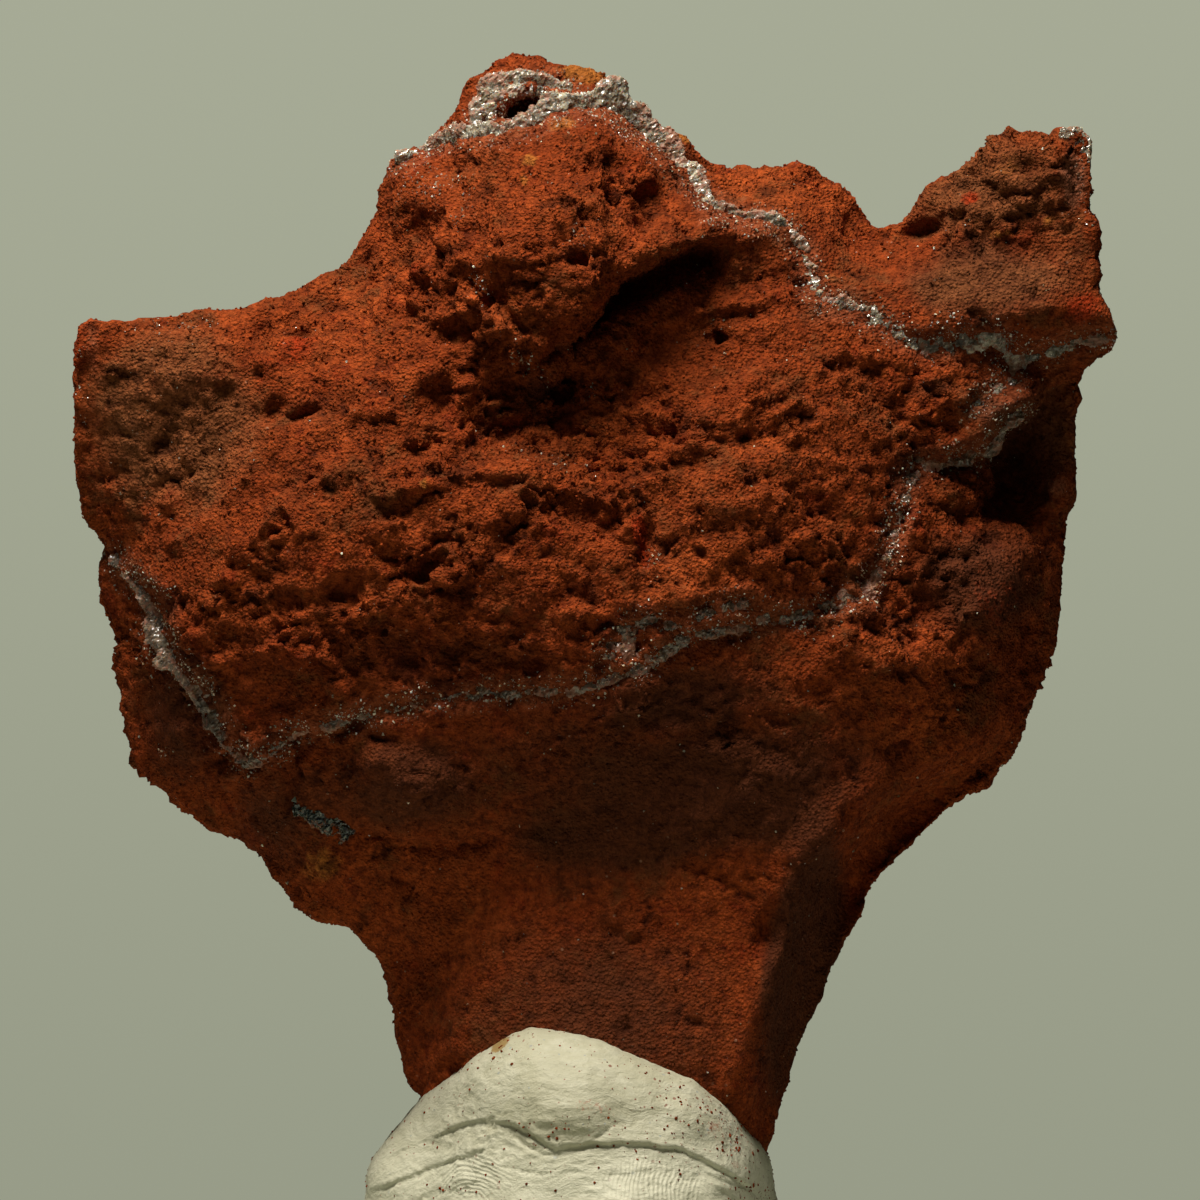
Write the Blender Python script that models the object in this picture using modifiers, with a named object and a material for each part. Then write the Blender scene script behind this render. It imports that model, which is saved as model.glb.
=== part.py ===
"""Calcite with hematite on matrix: a red mineral specimen held upright in a lump of pale putty.

Lengths in the tables are millimetres. x runs to the right, z runs up from the table, and y runs away from
the viewer, who faces the calcite seams. The rock and the putty are drawn as outlines seen from the front,
and each gets its depth from two surfaces: how far it comes forward of the middle plane y = 0, and how far
it goes back behind it.
"""

import math
import random
from dataclasses import dataclass

import bmesh
import bpy
import numpy as np
from mathutils import Matrix, Vector
from mathutils.bvhtree import BVHTree

MM = 0.001
GAP = 0.45

# Driving dimensions
PLATE_HALF = 10.0
PLATE_VOXEL = 1.3
ROCK_VOXEL = 1.1
ROCK_TRIANGLES = 4000
ROCK_EDGE_ROUNDING = 6.5
ROCK_EDGE_CURVE = 1.9
FRONT_SINK_LIMIT = 9.0
BACK_SINK_LIMIT = 2.0
LOBE_EDGE = 1.1
FOOT_LEVEL = 21.0
ROUGH_LUMPS = ("VORONOI", 7.0, 2.6)
ROUGH_GRAIN = ("CLOUDS", 3.2, 2.2)
ROUGH_STEPS = 12
PUTTY_VOXEL = 1.2
PUTTY_TRIANGLES = 950
PUTTY_THICKNESS = 9.5
PUTTY_EDGE_ROUNDING = 15.0
GROOVE_ROOM = 0.75
GROOVE_VOXEL = 0.5
GROOVE_SHARE = 0.4
SEAM_VOXEL = 0.3
CALCITE_SQUASH = 0.698
CRYSTAL_SINK = 0.3

# Outline of the rock from the front, clockwise from the top left corner of the flat left panel.
# The last stretch, below z = 22, is the foot inside the putty.
ROCK_OUTLINE = [
    (-51.4, 99.9), (-47.4, 99.7), (-42.0, 100.4), (-35.5, 100.7), (-30.9, 102.3), (-28.0, 104.3),
    (-25.0, 105.4), (-24.0, 107.5), (-22.0, 109.6), (-21.8, 112.5), (-20.9, 115.9), (-19.4, 116.6),
    (-16.8, 116.6), (-16.4, 118.2), (-15.0, 119.8), (-14.1, 121.7), (-13.8, 124.2), (-12.5, 125.0),
    (-9.9, 126.0), (-6.6, 126.2), (-3.7, 125.0), (0.0, 124.1), (1.7, 123.0), (3.8, 121.5), (4.8, 120.1),
    (7.3, 118.8), (8.8, 117.8), (10.3, 115.7), (14.2, 115.0), (19.7, 115.2), (21.8, 114.2), (26.0, 112.1),
    (27.0, 109.2), (28.9, 109.3), (30.2, 109.8), (31.2, 111.3), (32.3, 113.6), (34.4, 114.6),
    (36.4, 115.7), (39.4, 117.7), (45.2, 118.4), (46.5, 119.0), (48.4, 118.9), (49.0, 117.5),
    (48.8, 112.1), (49.4, 108.7), (49.6, 103.5), (50.7, 100.6), (51.7, 98.7), (51.1, 96.6), (49.6, 95.8),
    (47.9, 94.7), (47.6, 91.4), (47.3, 88.8), (47.8, 86.1), (47.8, 82.3), (46.5, 80.5), (46.1, 75.7),
    (45.9, 72.3), (46.2, 70.5), (45.5, 67.0), (44.6, 64.3), (42.3, 58.6), (40.6, 55.9), (38.6, 54.0),
    (35.2, 51.7), (33.7, 50.2), (30.2, 46.6), (27.2, 43.9), (26.1, 40.6), (24.1, 37.6), (22.0, 32.0),
    (19.5, 26.5), (18.4, 22.6), (17.0, 18.0), (14.5, 12.5), (9.0, 9.0), (1.0, 8.0), (-7.0, 9.0),
    (-13.0, 13.0), (-16.0, 18.0), (-17.8, 22.4), (-19.6, 24.7), (-20.4, 28.8), (-20.6, 31.4),
    (-21.7, 35.8), (-23.1, 37.2), (-25.0, 39.7), (-28.2, 40.2), (-31.3, 42.7), (-34.7, 46.7),
    (-36.7, 48.3), (-39.0, 48.8), (-40.9, 50.4), (-43.5, 53.2), (-45.7, 55.2), (-46.6, 56.7),
    (-47.2, 59.0), (-48.4, 64.7), (-48.1, 67.8), (-49.5, 72.0), (-50.1, 75.0), (-49.1, 77.3),
    (-50.8, 79.4), (-51.8, 80.3), (-52.2, 84.6), (-52.2, 95.3), (-52.0, 97.9),
]

# Seams of calcite as (x, z, width) from the front.
UPPER_SEAM = [
    (-20.2, 115.6, 2.4), (-18.4, 116.0, 2.0), (-16.2, 117.6, 1.6), (-14.6, 117.8, 2.4), (-12.4, 118.0, 2.4),
    (-9.6, 118.4, 2.4), (-6.6, 119.2, 2.6), (-4.8, 120.4, 3.2), (-2.0, 121.0, 4.2), (0.6, 121.2, 4.4),
    (2.8, 119.9, 4.4), (4.7, 118.2, 4.2), (6.9, 116.4, 3.6), (8.3, 114.8, 3.0), (9.5, 113.3, 2.0),
    (11.2, 111.0, 1.4), (13.0, 110.6, 1.5), (15.1, 110.0, 1.4), (17.3, 109.7, 1.4), (19.0, 108.6, 1.4),
    (20.3, 107.2, 1.3), (20.8, 105.2, 1.2), (21.4, 103.0, 1.2), (22.3, 101.7, 1.4), (24.1, 101.5, 1.8),
    (26.0, 100.5, 2.2), (28.2, 99.5, 2.4), (29.6, 98.4, 2.8), (31.2, 97.8, 3.0), (33.2, 97.3, 3.2),
    (35.5, 97.7, 3.0), (37.7, 98.4, 2.6), (39.8, 98.7, 2.0), (40.6, 97.0, 1.8), (41.4, 95.6, 1.8),
    (41.2, 94.0, 1.6), (40.1, 93.2, 1.4), (38.6, 92.2, 1.4), (37.2, 91.4, 1.2),
]
VUG_RING = [
    (-12.0, 119.0, 2.4), (-11.7, 121.2, 2.8), (-10.2, 122.8, 2.6), (-7.8, 123.6, 2.2), (-5.0, 123.5, 2.2),
    (-3.0, 122.4, 2.8),
]
SPUR_SEAM = [
    (40.6, 96.4, 1.6), (42.6, 96.2, 1.4), (45.2, 96.9, 1.4), (47.4, 98.0, 1.4), (49.6, 98.2, 1.4),
    (51.0, 98.4, 1.2),
]
LOWER_SEAM = [
    (42.0, 90.8, 1.4), (40.3, 90.0, 1.5), (39.8, 88.6, 1.4), (38.8, 86.8, 1.6), (37.2, 86.8, 1.6),
    (35.6, 86.2, 1.5), (34.0, 85.8, 1.5), (32.4, 85.7, 1.5), (31.3, 84.7, 1.4), (30.6, 83.2, 1.3),
    (30.0, 81.2, 1.3), (29.4, 79.0, 1.3), (28.8, 77.0, 1.3), (28.0, 75.4, 1.2), (26.8, 73.9, 1.3),
    (26.6, 72.3, 1.6), (24.6, 71.8, 1.6), (22.4, 71.4, 1.5), (20.8, 70.8, 1.4), (18.8, 70.4, 1.6),
    (16.4, 70.2, 1.5), (14.0, 69.4, 1.6), (12.4, 69.2, 1.5), (10.9, 69.2, 1.5), (8.9, 68.9, 1.5),
    (7.0, 67.5, 1.5), (5.1, 66.1, 1.4), (3.2, 65.1, 1.5), (1.5, 64.6, 1.6), (-0.4, 63.9, 1.5),
    (-2.8, 63.2, 1.5), (-6.0, 63.0, 1.4), (-8.4, 62.8, 1.3), (-10.8, 62.7, 1.2), (-13.2, 62.4, 1.2),
    (-15.4, 62.2, 1.2), (-17.8, 62.0, 1.2), (-19.8, 61.4, 1.1), (-21.6, 61.0, 1.1), (-23.6, 60.4, 1.1),
    (-25.7, 60.1, 1.1), (-27.6, 59.6, 1.1), (-29.4, 59.0, 1.1), (-31.0, 58.4, 1.1), (-32.4, 57.2, 1.2),
    (-33.8, 56.4, 1.3), (-35.7, 55.8, 1.6),
]
LEFT_SEAM = [
    (-35.7, 55.9, 1.8), (-36.4, 57.0, 2.2), (-37.2, 58.2, 2.2), (-38.0, 60.0, 2.2), (-39.0, 62.2, 2.4),
    (-40.2, 63.6, 3.0), (-41.6, 64.8, 3.6), (-42.6, 66.4, 4.0), (-43.4, 68.4, 4.0), (-44.0, 70.4, 3.4),
    (-44.8, 72.4, 2.6), (-46.2, 73.6, 1.8), (-47.6, 75.0, 1.4), (-48.6, 76.4, 1.2),
]
CRYSTAL_BLOCK = [
    (0.8, 66.2, 2.6), (1.8, 67.8, 3.2), (3.2, 69.6, 3.6), (4.8, 70.4, 3.0), (6.4, 69.9, 2.4), (8.0, 69.6, 1.8),
    (9.8, 70.5, 1.3), (12.0, 71.2, 1.2), (14.6, 71.8, 1.1),
]
HORN_TIP = [(45.9, 118.1, 1.6), (47.2, 118.3, 1.8), (48.2, 117.6, 1.5), (48.4, 115.8, 1.2)]
DARK_DRUSE = [
    (-30.4, 51.6, 2.0), (-28.9, 51.2, 2.2), (-27.2, 50.6, 2.4), (-25.8, 49.6, 2.8), (-24.8, 48.6, 2.2),
]

# Heights of the block that stands forward, inside the ring of calcite, as (x, z, forward).
LOBE_FRONT = [
    (-17, 113, 8), (-12, 116, 11), (-6, 117, 12.5), (1, 118, 11.5), (6, 113.5, 10.5), (-8, 111, 16.5),
    (-1, 109, 18.5), (0, 103, 18.5), (-6, 100, 17), (-15, 107, 12.5), (-13, 101, 15), (-20, 107, 7),
    (-18, 99, 13), (-26, 101, 7), (-22, 92, 15), (-30, 99, 8.5), (-31, 92, 11.5), (-36, 99, 9.5),
    (-36, 91, 10), (-42, 98, 9), (-43, 90, 8.2), (-49, 97, 7), (-49, 87, 6), (-43, 82, 8.5),
    (-35, 83, 12), (-47, 77, 7), (-42, 73, 11), (-34, 75, 15.5), (-26, 84, 15.5), (-26, 74, 18.2),
    (-17, 87, 17), (-17, 74, 19.5), (-8, 90, 13.5), (-8, 84, 17.5), (-7, 75, 20.5), (-37, 67, 13),
    (-36, 60, 12), (-29, 63, 14.5), (-20, 64, 16.5), (-10, 65, 18), (-1, 67, 19), (2, 76, 18.5),
    (1, 84, 16), (2, 92, 12.5), (8, 72, 19.5), (10, 80, 18), (10, 88, 15.5), (10, 95, 12),
    (6, 99, 10.5), (12, 103, 8.5), (12, 110, 10.5), (17, 106, 7), (17, 100, 9.5), (18, 92, 12.5),
    (19, 84, 14.5), (19, 75, 16), (25, 75, 13), (26, 82, 12), (26, 90, 10.5), (26, 97, 8),
    (33, 88, 8), (33, 94, 7), (39, 92, 6), (44, 93, 4.5),
]

# Heights of the rock behind and below that block: both humps, the horn, the underside and the stem.
SHOULDER_FRONT = [
    (-12, 124, 3), (-7, 124.5, 5), (-1, 123, 5.5), (4, 120.5, 4), (-13, 120, 5), (-19, 116, 4),
    (-8, 121, 7), (11, 114, 4), (16, 113, 5), (22, 112, 4), (25.5, 110, 2.5), (16, 110.5, 6.5),
    (22, 107, 5.5), (24, 103, 6.5), (28.5, 107.5, 1.5), (28, 102, 6), (33, 112, 3), (33, 108.5, 2),
    (40, 116, 6.5), (47, 117, 7), (40, 111, 5), (47.5, 112, 5.5), (37, 107.5, 4.2), (37, 104.5, 6),
    (43, 107, 3.8), (43, 104, 7), (48, 104.5, 6), (33, 100, 7), (40, 101, 8), (47, 100, 7.5),
    (50.5, 98.5, 4.5), (46, 93, -0.5), (43, 88, -3), (42, 83, -4), (46, 83, 1), (43, 76, 5),
    (36, 83, 5.5), (33, 78, 9.5), (38, 72, 9), (44, 70, 4.5), (30, 70, 11.5), (33, 62, 10),
    (40, 62, 5.5), (26, 68, 14.5), (19, 68, 15.5), (10, 66, 17), (2, 62, 17.5), (-6, 60, 16.5),
    (-15, 59, 15.5), (-23, 57, 13.5), (-30, 55, 10), (26, 60, 14), (18, 59, 15), (10, 56, 15),
    (0, 54, 14), (-10, 53, 13.5), (-18, 52, 12.5), (-24, 52, 9.5), (30, 55.5, 9), (23, 49, 12.5),
    (16, 49, 13), (6, 47, 12), (-4, 47, 10.5), (-13, 46, 9.5), (-19, 46, 7), (-47, 72, 4),
    (-47, 64, 3.5), (-42, 66, 7.5), (-44, 59, 4.5), (-39, 58, 7), (-41, 53, 4), (-34, 53, 8),
    (-35, 48, 4.5), (-28, 47, 7), (-29, 42, 4), (-23, 42, 5.5), (-18, 38, 6), (-19, 31, 4.5),
    (-10, 38, 9.5), (0, 39, 11), (10, 39, 11.5), (19.5, 40, 11), (-12, 31, 10), (-4, 30, 12.5),
    (6, 30, 13.5), (17, 31, 12), (-15, 24, 8), (-6, 22, 12.5), (4, 22, 14), (15, 22, 12.5),
    (4, 13, 9), (-9, 14, 7),
]

# How far the rock goes back, as (x, z, back). The back is hidden, so this is a plain broken face.
ROCK_BACK = [
    (-7, 122, 9), (-14, 112, 11), (-22, 104, 9), (-40, 94, 7), (-48, 90, 4.5), (-45, 70, 8),
    (-36, 80, 13), (-40, 56, 7), (-30, 60, 15), (-28, 46, 8), (-20, 90, 15), (0, 110, 13), (12, 108, 9),
    (24, 106, 9), (40, 112, 8), (47, 112, 7), (46, 100, 9.5), (38, 96, 13), (20, 94, 17), (0, 92, 19),
    (-12, 74, 21), (8, 74, 24), (28, 74, 20), (42, 76, 12), (38, 58, 11), (24, 54, 17), (6, 54, 21),
    (-12, 52, 17), (-16, 38, 9), (0, 36, 15), (14, 36, 14), (24, 40, 8), (0, 22, 12), (12, 22, 11.5),
    (-12, 24, 9), (2, 12, 8),
]

# Where the silhouette runs, as (x, z, how far back the rim lies, half its thickness).
ROCK_RIM = [
    (-7, 126, 3, 4), (-40, 100, -1.5, 4.5), (-52, 90, -1, 4), (-49, 70, 3.5, 3.5), (-44, 54, 4, 4),
    (-30, 42, 3, 4), (-21, 34, 1.5, 4), (-16, 18, 1, 5), (0, 8, 0, 5), (18, 22, 3.5, 5), (25, 40, 5, 4),
    (34, 50, 4.5, 4), (43, 60, 5.5, 3.5), (46, 75, 6, 4), (47, 88, 5, 4), (51, 98, -2, 3), (49, 110, -1, 4),
    (45, 118, -0.5, 3.5), (34, 114, 2.5, 3.5), (28, 109, 5, 4), (20, 115, 4.5, 4), (8, 118, 2.5, 4),
    (-22, 110, 1.5, 4), (-30, 102, 0, 4),
]

# Lumps and hollows of the front as (x, z, half length, half width, turn, forward, steepness).
# The steepness runs from 0 for a soft swelling to 1 for a pit with steep sides.
FRONT_FORMS = [
    (5.5, 103.6, 5.5, 1.8, 28, -2.5, 0.4), (-17.5, 109.0, 2.4, 1.8, 80, -1.8, 0.3),
    (-13.5, 103.5, 2.4, 2.0, 0, -2.2, 0.4), (-10.3, 101.7, 2.0, 1.8, 0, -3.0, 0.7),
    (-14.0, 98.5, 2.4, 2.0, 0, -1.8, 0.3), (-5.5, 94.6, 3.8, 3.4, 60, -2.6, 0.4),
    (-3.4, 97.6, 2.6, 2.2, 0, -3.2, 0.6), (5.8, 112.0, 4.6, 3.0, 60, -2.2, 0.2),
    (-16.0, 92.0, 3.4, 2.8, 20, -2.2, 0.2), (-32.5, 90.5, 2.4, 1.4, 30, -1.8, 0.2),
    (-29.2, 90.2, 3.0, 1.2, 15, -2.2, 0.3), (-39.5, 97.0, 1.8, 1.4, 0, -0.5, 0.2),
    (-43.5, 97.0, 1.5, 1.2, 0, -0.4, 0.2), (-48.2, 93.5, 1.4, 1.2, 0, -0.5, 0.2),
    (-46.0, 93.8, 1.2, 1.0, 0, -0.4, 0.2), (-37.2, 92.5, 1.6, 1.2, 30, -0.6, 0.2),
    (-42.8, 87.8, 2.4, 1.2, -35, -0.7, 0.2), (-40.7, 84.5, 1.7, 1.2, 0, -0.6, 0.2),
    (-47.8, 85.0, 1.4, 1.2, 0, -0.6, 0.2), (-37.2, 84.2, 1.6, 1.2, 0, -0.5, 0.2),
    (-25.5, 73.0, 1.9, 1.5, 0, -2.2, 0.6), (-17.0, 75.0, 2.2, 1.7, 20, -2.0, 0.4),
    (-6.5, 65.5, 1.6, 1.4, 0, -1.6, 0.5), (4.5, 77.5, 3.8, 1.2, 75, -1.8, 0.5),
    (42.0, 83.0, 6.0, 4.2, 70, -1.8, 0.3), (45.7, 83.2, 2.6, 2.0, 70, 2.8, 0.4),
    (31.9, 108.8, 3.4, 1.1, 16, -3.2, 0.7), (39.5, 112.5, 3.0, 2.0, 10, -1.2, 0.2),
    (16.7, 38.8, 3.4, 2.0, 70, -2.0, 0.3), (-14.7, 25.5, 1.8, 1.4, 0, -1.6, 0.5),
    (-22.2, 58.5, 2.0, 1.1, -20, -1.8, 0.5), (11.7, 97.9, 2.4, 0.8, 8, -1.2, 0.3),
    (-9.5, 107.0, 3.4, 3.0, 0, 1.2, 0.0), (-2.5, 112.0, 3.4, 3.0, 0, 1.2, 0.0),
    (-0.6, 105.0, 2.6, 3.2, 0, 0.8, 0.2), (-7.2, 93.2, 1.8, 1.4, 40, 1.8, 0.2),
    (-31.0, 68.0, 5.6, 4.2, 10, 1.6, 0.1), (-20.0, 53.5, 8.4, 4.8, -8, 2.7, 0.2),
    (14.0, 92.0, 8.0, 4.0, 28, 1.0, 0.0), (6.0, 86.0, 6.0, 3.2, 28, 1.0, 0.0),
    (-30.0, 80.0, 5.0, 3.4, 15, 1.2, 0.1), (-7.6, 120.9, 3.7, 1.9, 24, -9.0, 0.8),
    (33.0, 66.0, 5.0, 3.6, 50, 1.0, 0.0), (-27.6, 46.0, 3.0, 2.4, 40, 1.0, 0.2),
    (8.6, 110.6, 1.9, 1.2, -50, -1.4, 0.5), (4.0, 108.8, 1.8, 1.4, 70, -1.0, 0.4),
    (3.6, 67.3, 2.2, 0.9, 32, -2.2, 0.7),
]

# The lower right edge of the boss, which hangs over a wedge-shaped hollow.
BOSS_EDGE = [
    (-5.0, 92.0), (-3.6, 96.0), (-0.6, 100.6), (1.8, 103.2), (4.4, 105.2), (7.2, 106.4), (9.8, 106.8),
]

# Steps of the front as (points, forward, reach): the side on the left of the run stands forward.
FRONT_LEDGES = [
    ([(-20.0, 82.0), (-15.0, 83.8), (-8.0, 84.0), (0.0, 81.5)], 1.8, 4.0),
    (BOSS_EDGE, 2.4, 6.0), (BOSS_EDGE[2:][::-1], -6.5, 3.8), (BOSS_EDGE[:4][::-1], -2.5, 5.0),
    ([(0.6, 114.6), (0.9, 110.6), (1.5, 106.9), (1.0, 103.6)], -1.9, 4.6),
    ([(48.0, 94.4), (45.2, 92.8), (41.6, 89.6), (39.6, 86.4), (38.8, 82.8)], -3.4, 5.5),
    ([(22.2, 94.5), (23.5, 95.8), (26.0, 96.0), (28.5, 95.0)], 0.9, 2.5),
    ([(40.5, 99.8), (43.5, 100.6), (46.0, 100.9)], 0.8, 2.6),
    ([(46.0, 77.5), (44.0, 77.6), (40.0, 80.0), (37.5, 79.6)], 2.0, 4.0),
    ([(8.0, 99.5), (12.0, 100.6), (16.0, 101.2)], 1.2, 2.5),
    ([(-38.0, 99.0), (-34.0, 95.0), (-33.5, 90.0), (-36.0, 84.0), (-41.0, 79.0), (-46.0, 77.5)], 0.9, 4.0),
    ([(41.0, 90.0), (44.0, 92.6), (48.0, 94.4), (51.5, 96.2)], 2.0, 4.0),
    ([(-33.0, 66.5), (-28.0, 65.5), (-26.0, 62.0)], 1.2, 3.0),
]

# Cracks and seams of the front as (points, depth, half width).
FRONT_CRACKS = [
    ([(-29.5, 57.5), (-30.4, 54.5), (-31.0, 52.0)], 1.6, 0.9),
    ([(-26.0, 50.2), (-22.5, 48.4), (-18.5, 47.5), (-14.5, 47.4), (-11.0, 48.2)], 1.2, 0.9),
    ([(-20.5, 45.0), (-18.5, 43.0)], 1.2, 0.8), ([(8.5, 46.0), (12.5, 44.0)], 1.0, 0.7),
    ([(0.0, 39.5), (4.0, 37.5)], 1.0, 0.7), ([(-27.5, 61.8), (-25.5, 61.6)], 1.2, 0.6),
    ([(-16.0, 113.0), (-15.0, 108.0), (-13.0, 102.0), (-10.0, 98.5), (-6.0, 95.0)], -1.6, 1.7),
    ([(28.0, 54.0), (23.0, 49.0), (19.6, 45.4), (18.4, 40.0), (17.4, 35.0), (16.4, 30.0), (15.0, 23.0)], -1.4, 3.8),
]

# Edges where a face turns away, as (points, slope, softness). The face falls back on the right of the
# run, or on its left where the slope is negative.
FRONT_ARRISES = [
    ([(32.0, 55.6), (27.4, 53.4), (22.6, 48.6), (19.8, 45.6), (18.9, 42.0), (18.4, 39.0), (17.6, 35.0),
      (16.8, 31.5), (16.2, 28.0), (15.2, 24.0), (14.4, 15.0)], -3.0, 0.5),
    ([(-51.0, 104.0), (-51.2, 92.0), (-50.5, 88.0), (-50.2, 82.2), (-49.5, 79.0), (-50.5, 76.5),
      (-54.0, 76.0)], 1.3, 0.6),
]
BACK_ARRISES = [
    ([(-24.0, 112.0), (-12.0, 92.0), (-6.0, 70.0), (-14.0, 44.0)], 0.22, 1.5),
    ([(30.0, 108.0), (22.0, 88.0), (26.0, 66.0), (20.0, 36.0)], -0.28, 1.5),
    ([(-46.0, 60.0), (-20.0, 55.0), (4.0, 48.0), (30.0, 56.0)], -0.15, 2.0),
]
BACK_LEDGES = [
    ([(-30.0, 102.0), (-22.0, 88.0), (-23.0, 72.0), (-36.0, 60.0)], 2.0, 6.0),
    ([(9.0, 116.0), (13.0, 101.0), (29.0, 92.0), (46.0, 88.0)], 2.0, 6.0),
    ([(24.0, 58.0), (8.0, 64.0), (-11.0, 50.0)], 1.8, 5.0),
]
BACK_FORMS = [
    (-18.0, 84.0, 8.0, 5.0, 30, -2.5, 0.2), (14.0, 80.0, 9.0, 5.0, -20, 1.8, 0.1),
    (-2.0, 60.0, 7.0, 5.0, 10, -2.2, 0.2), (32.0, 86.0, 5.0, 4.0, 0, -2.5, 0.4),
    (-32.0, 72.0, 5.0, 4.0, 40, -1.8, 0.3), (8.0, 100.0, 5.0, 4.0, 0, -2.0, 0.3),
    (4.0, 38.0, 4.0, 6.0, 0, -1.6, 0.2), (-4.0, 74.0, 3.0, 2.4, 0, -2.4, 0.6),
]

# How rough the skin is, as (x, z, share): the front block is the roughest, the stem the smoothest.
ROCK_ROUGHNESS = [
    (-45, 90, 0.42), (-43, 80, 0.6), (-25, 100, 0.8), (-20, 90, 1.0), (-5, 105, 1.0), (-8, 95, 1.2),
    (-30, 70, 1.0), (-10, 70, 1.0), (10, 90, 0.8), (20, 80, 0.8), (30, 90, 0.8), (40, 95, 0.7),
    (20, 110, 0.5), (12, 102, 0.5), (40, 112, 0.8), (45, 104, 0.4), (36, 104, 0.5), (-7, 124, 0.7),
    (-25, 53, 0.5), (0, 55, 0.4), (20, 60, 0.6), (35, 68, 0.8), (42, 62, 0.7), (45, 75, 0.5),
    (25, 48, 0.35), (0, 40, 0.28), (10, 30, 0.22), (-15, 30, 0.28), (22, 36, 0.2), (-42, 60, 0.7),
    (-30, 46, 0.7), (0, 15, 0.3),
]

# Outline of the putty from the front, clockwise from its left side. It runs on below the table, where
# the lump is cut off flat.
PUTTY_OUTLINE = [
    (-25.0, -8.0), (-25.6, 2.0), (-24.8, 8.0), (-23.4, 12.0), (-23.3, 14.6), (-22.7, 16.1), (-21.3, 18.0),
    (-19.4, 20.3), (-17.5, 22.6), (-14.8, 24.7), (-12.5, 26.7), (-10.8, 27.8), (-8.5, 29.1), (-6.8, 29.7),
    (-3.5, 29.3), (0.0, 28.5), (3.8, 26.8), (7.7, 25.1), (9.6, 24.4), (11.9, 22.4), (13.4, 20.7),
    (14.4, 19.4), (15.9, 17.9), (16.9, 16.1), (17.3, 14.0), (17.6, 12.0), (18.8, 8.0), (19.8, 2.0),
    (19.2, -8.0),
]
PUTTY_FOLDS = [
    ([(-15.5, 19.2), (-13.2, 20.3), (-10.7, 20.6), (-8.6, 20.2), (-6.9, 19.4), (-5.4, 18.4), (-4.0, 18.0),
      (-1.2, 18.4), (3.6, 18.5), (8.3, 17.8), (12.1, 15.8), (15.5, 13.4)], 0.65, 3.0),
    ([(-23.3, 13.1), (-18.6, 15.0), (-16.1, 16.1), (-12.0, 17.5)], 0.45, 2.4),
    ([(-17.4, 13.0), (-15.8, 13.8), (-12.7, 14.5)], 0.4, 2.0),
]
PUTTY_LUMPS = [
    (-4.0, 23.0, 8.0, 4.6, -10, 0.7, 0.0), (-3.0, 20.8, 6.0, 2.6, 0, 0.9, 0.0), (4.0, 12.0, 9.0, 4.0, 5, 0.8, 0.0),
    (-3.0, 6.0, 26.0, 14.0, 0, 2.2, 0.0),
    (-14.0, 9.0, 7.0, 4.0, 15, 0.9, 0.0), (9.0, 21.0, 3.6, 2.4, -35, 0.7, 0.0),
]


def clear_scene():
    """Remove whatever the file holds, so the model is all there is."""
    for obj in list(bpy.data.objects):
        bpy.data.objects.remove(obj, do_unlink=True)


def new_collection(name):
    collection = bpy.data.collections.new(name)
    bpy.context.scene.collection.children.link(collection)
    return collection


def finish_of(name, colour, roughness, transmission=0.0):
    """A Principled material with one plain colour."""
    material = bpy.data.materials.new(name)
    material.use_nodes = True
    shader = material.node_tree.nodes["Principled BSDF"]
    shader.inputs["Base Color"].default_value = (*colour, 1.0)
    shader.inputs["Roughness"].default_value = roughness
    shader.inputs["Metallic"].default_value = 0.0
    shader.inputs["Transmission Weight"].default_value = transmission
    return material


def object_from(name, mesh, collection):
    obj = bpy.data.objects.new(name, mesh)
    collection.objects.link(obj)
    return obj


def applied(obj):
    """The object's mesh with its modifiers and its place worked in."""
    bpy.context.view_layer.update()
    graph = bpy.context.evaluated_depsgraph_get()
    mesh = bpy.data.meshes.new_from_object(obj.evaluated_get(graph))
    mesh.transform(obj.matrix_world)
    return mesh


def settle(obj):
    """Work the modifiers into the object's own mesh."""
    mesh = applied(obj)
    obj.modifiers.clear()
    obj.data = mesh
    obj.matrix_world = Matrix.Identity(4)


def points_of(mesh):
    """The mesh's points in millimetres."""
    points = np.empty(len(mesh.vertices) * 3)
    mesh.vertices.foreach_get("co", points)
    return points.reshape(-1, 3) / MM


def set_points(mesh, points):
    mesh.vertices.foreach_set("co", (points * MM).ravel())
    mesh.update()


def spline_kernel(distance):
    return np.where(distance > 0, distance**2 * np.log(np.maximum(distance, 1e-9)), 0.0)


def smooth_field(points, column=2, softness=6.0):
    """A thin sheet bent over the given heights, as a function of x and z."""
    table = np.array(points, float)
    centres = table[:, :2]
    count = len(table)
    apart = np.linalg.norm(centres[:, None] - centres[None], axis=2)
    system = np.zeros((count + 3, count + 3))
    system[:count, :count] = spline_kernel(apart) + softness * np.eye(count)
    system[:count, count] = 1
    system[:count, count + 1 :] = centres
    system[count:, :count] = system[:count, count:].T
    target = np.concatenate([table[:, column], np.zeros(3)])
    weights = np.linalg.solve(system, target)

    def field(x, z):
        height = weights[count] + weights[count + 1] * x + weights[count + 2] * z
        for (cx, cz), weight in zip(centres, weights):
            height = height + weight * spline_kernel(np.hypot(x - cx, z - cz))
        return height

    return field


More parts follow.
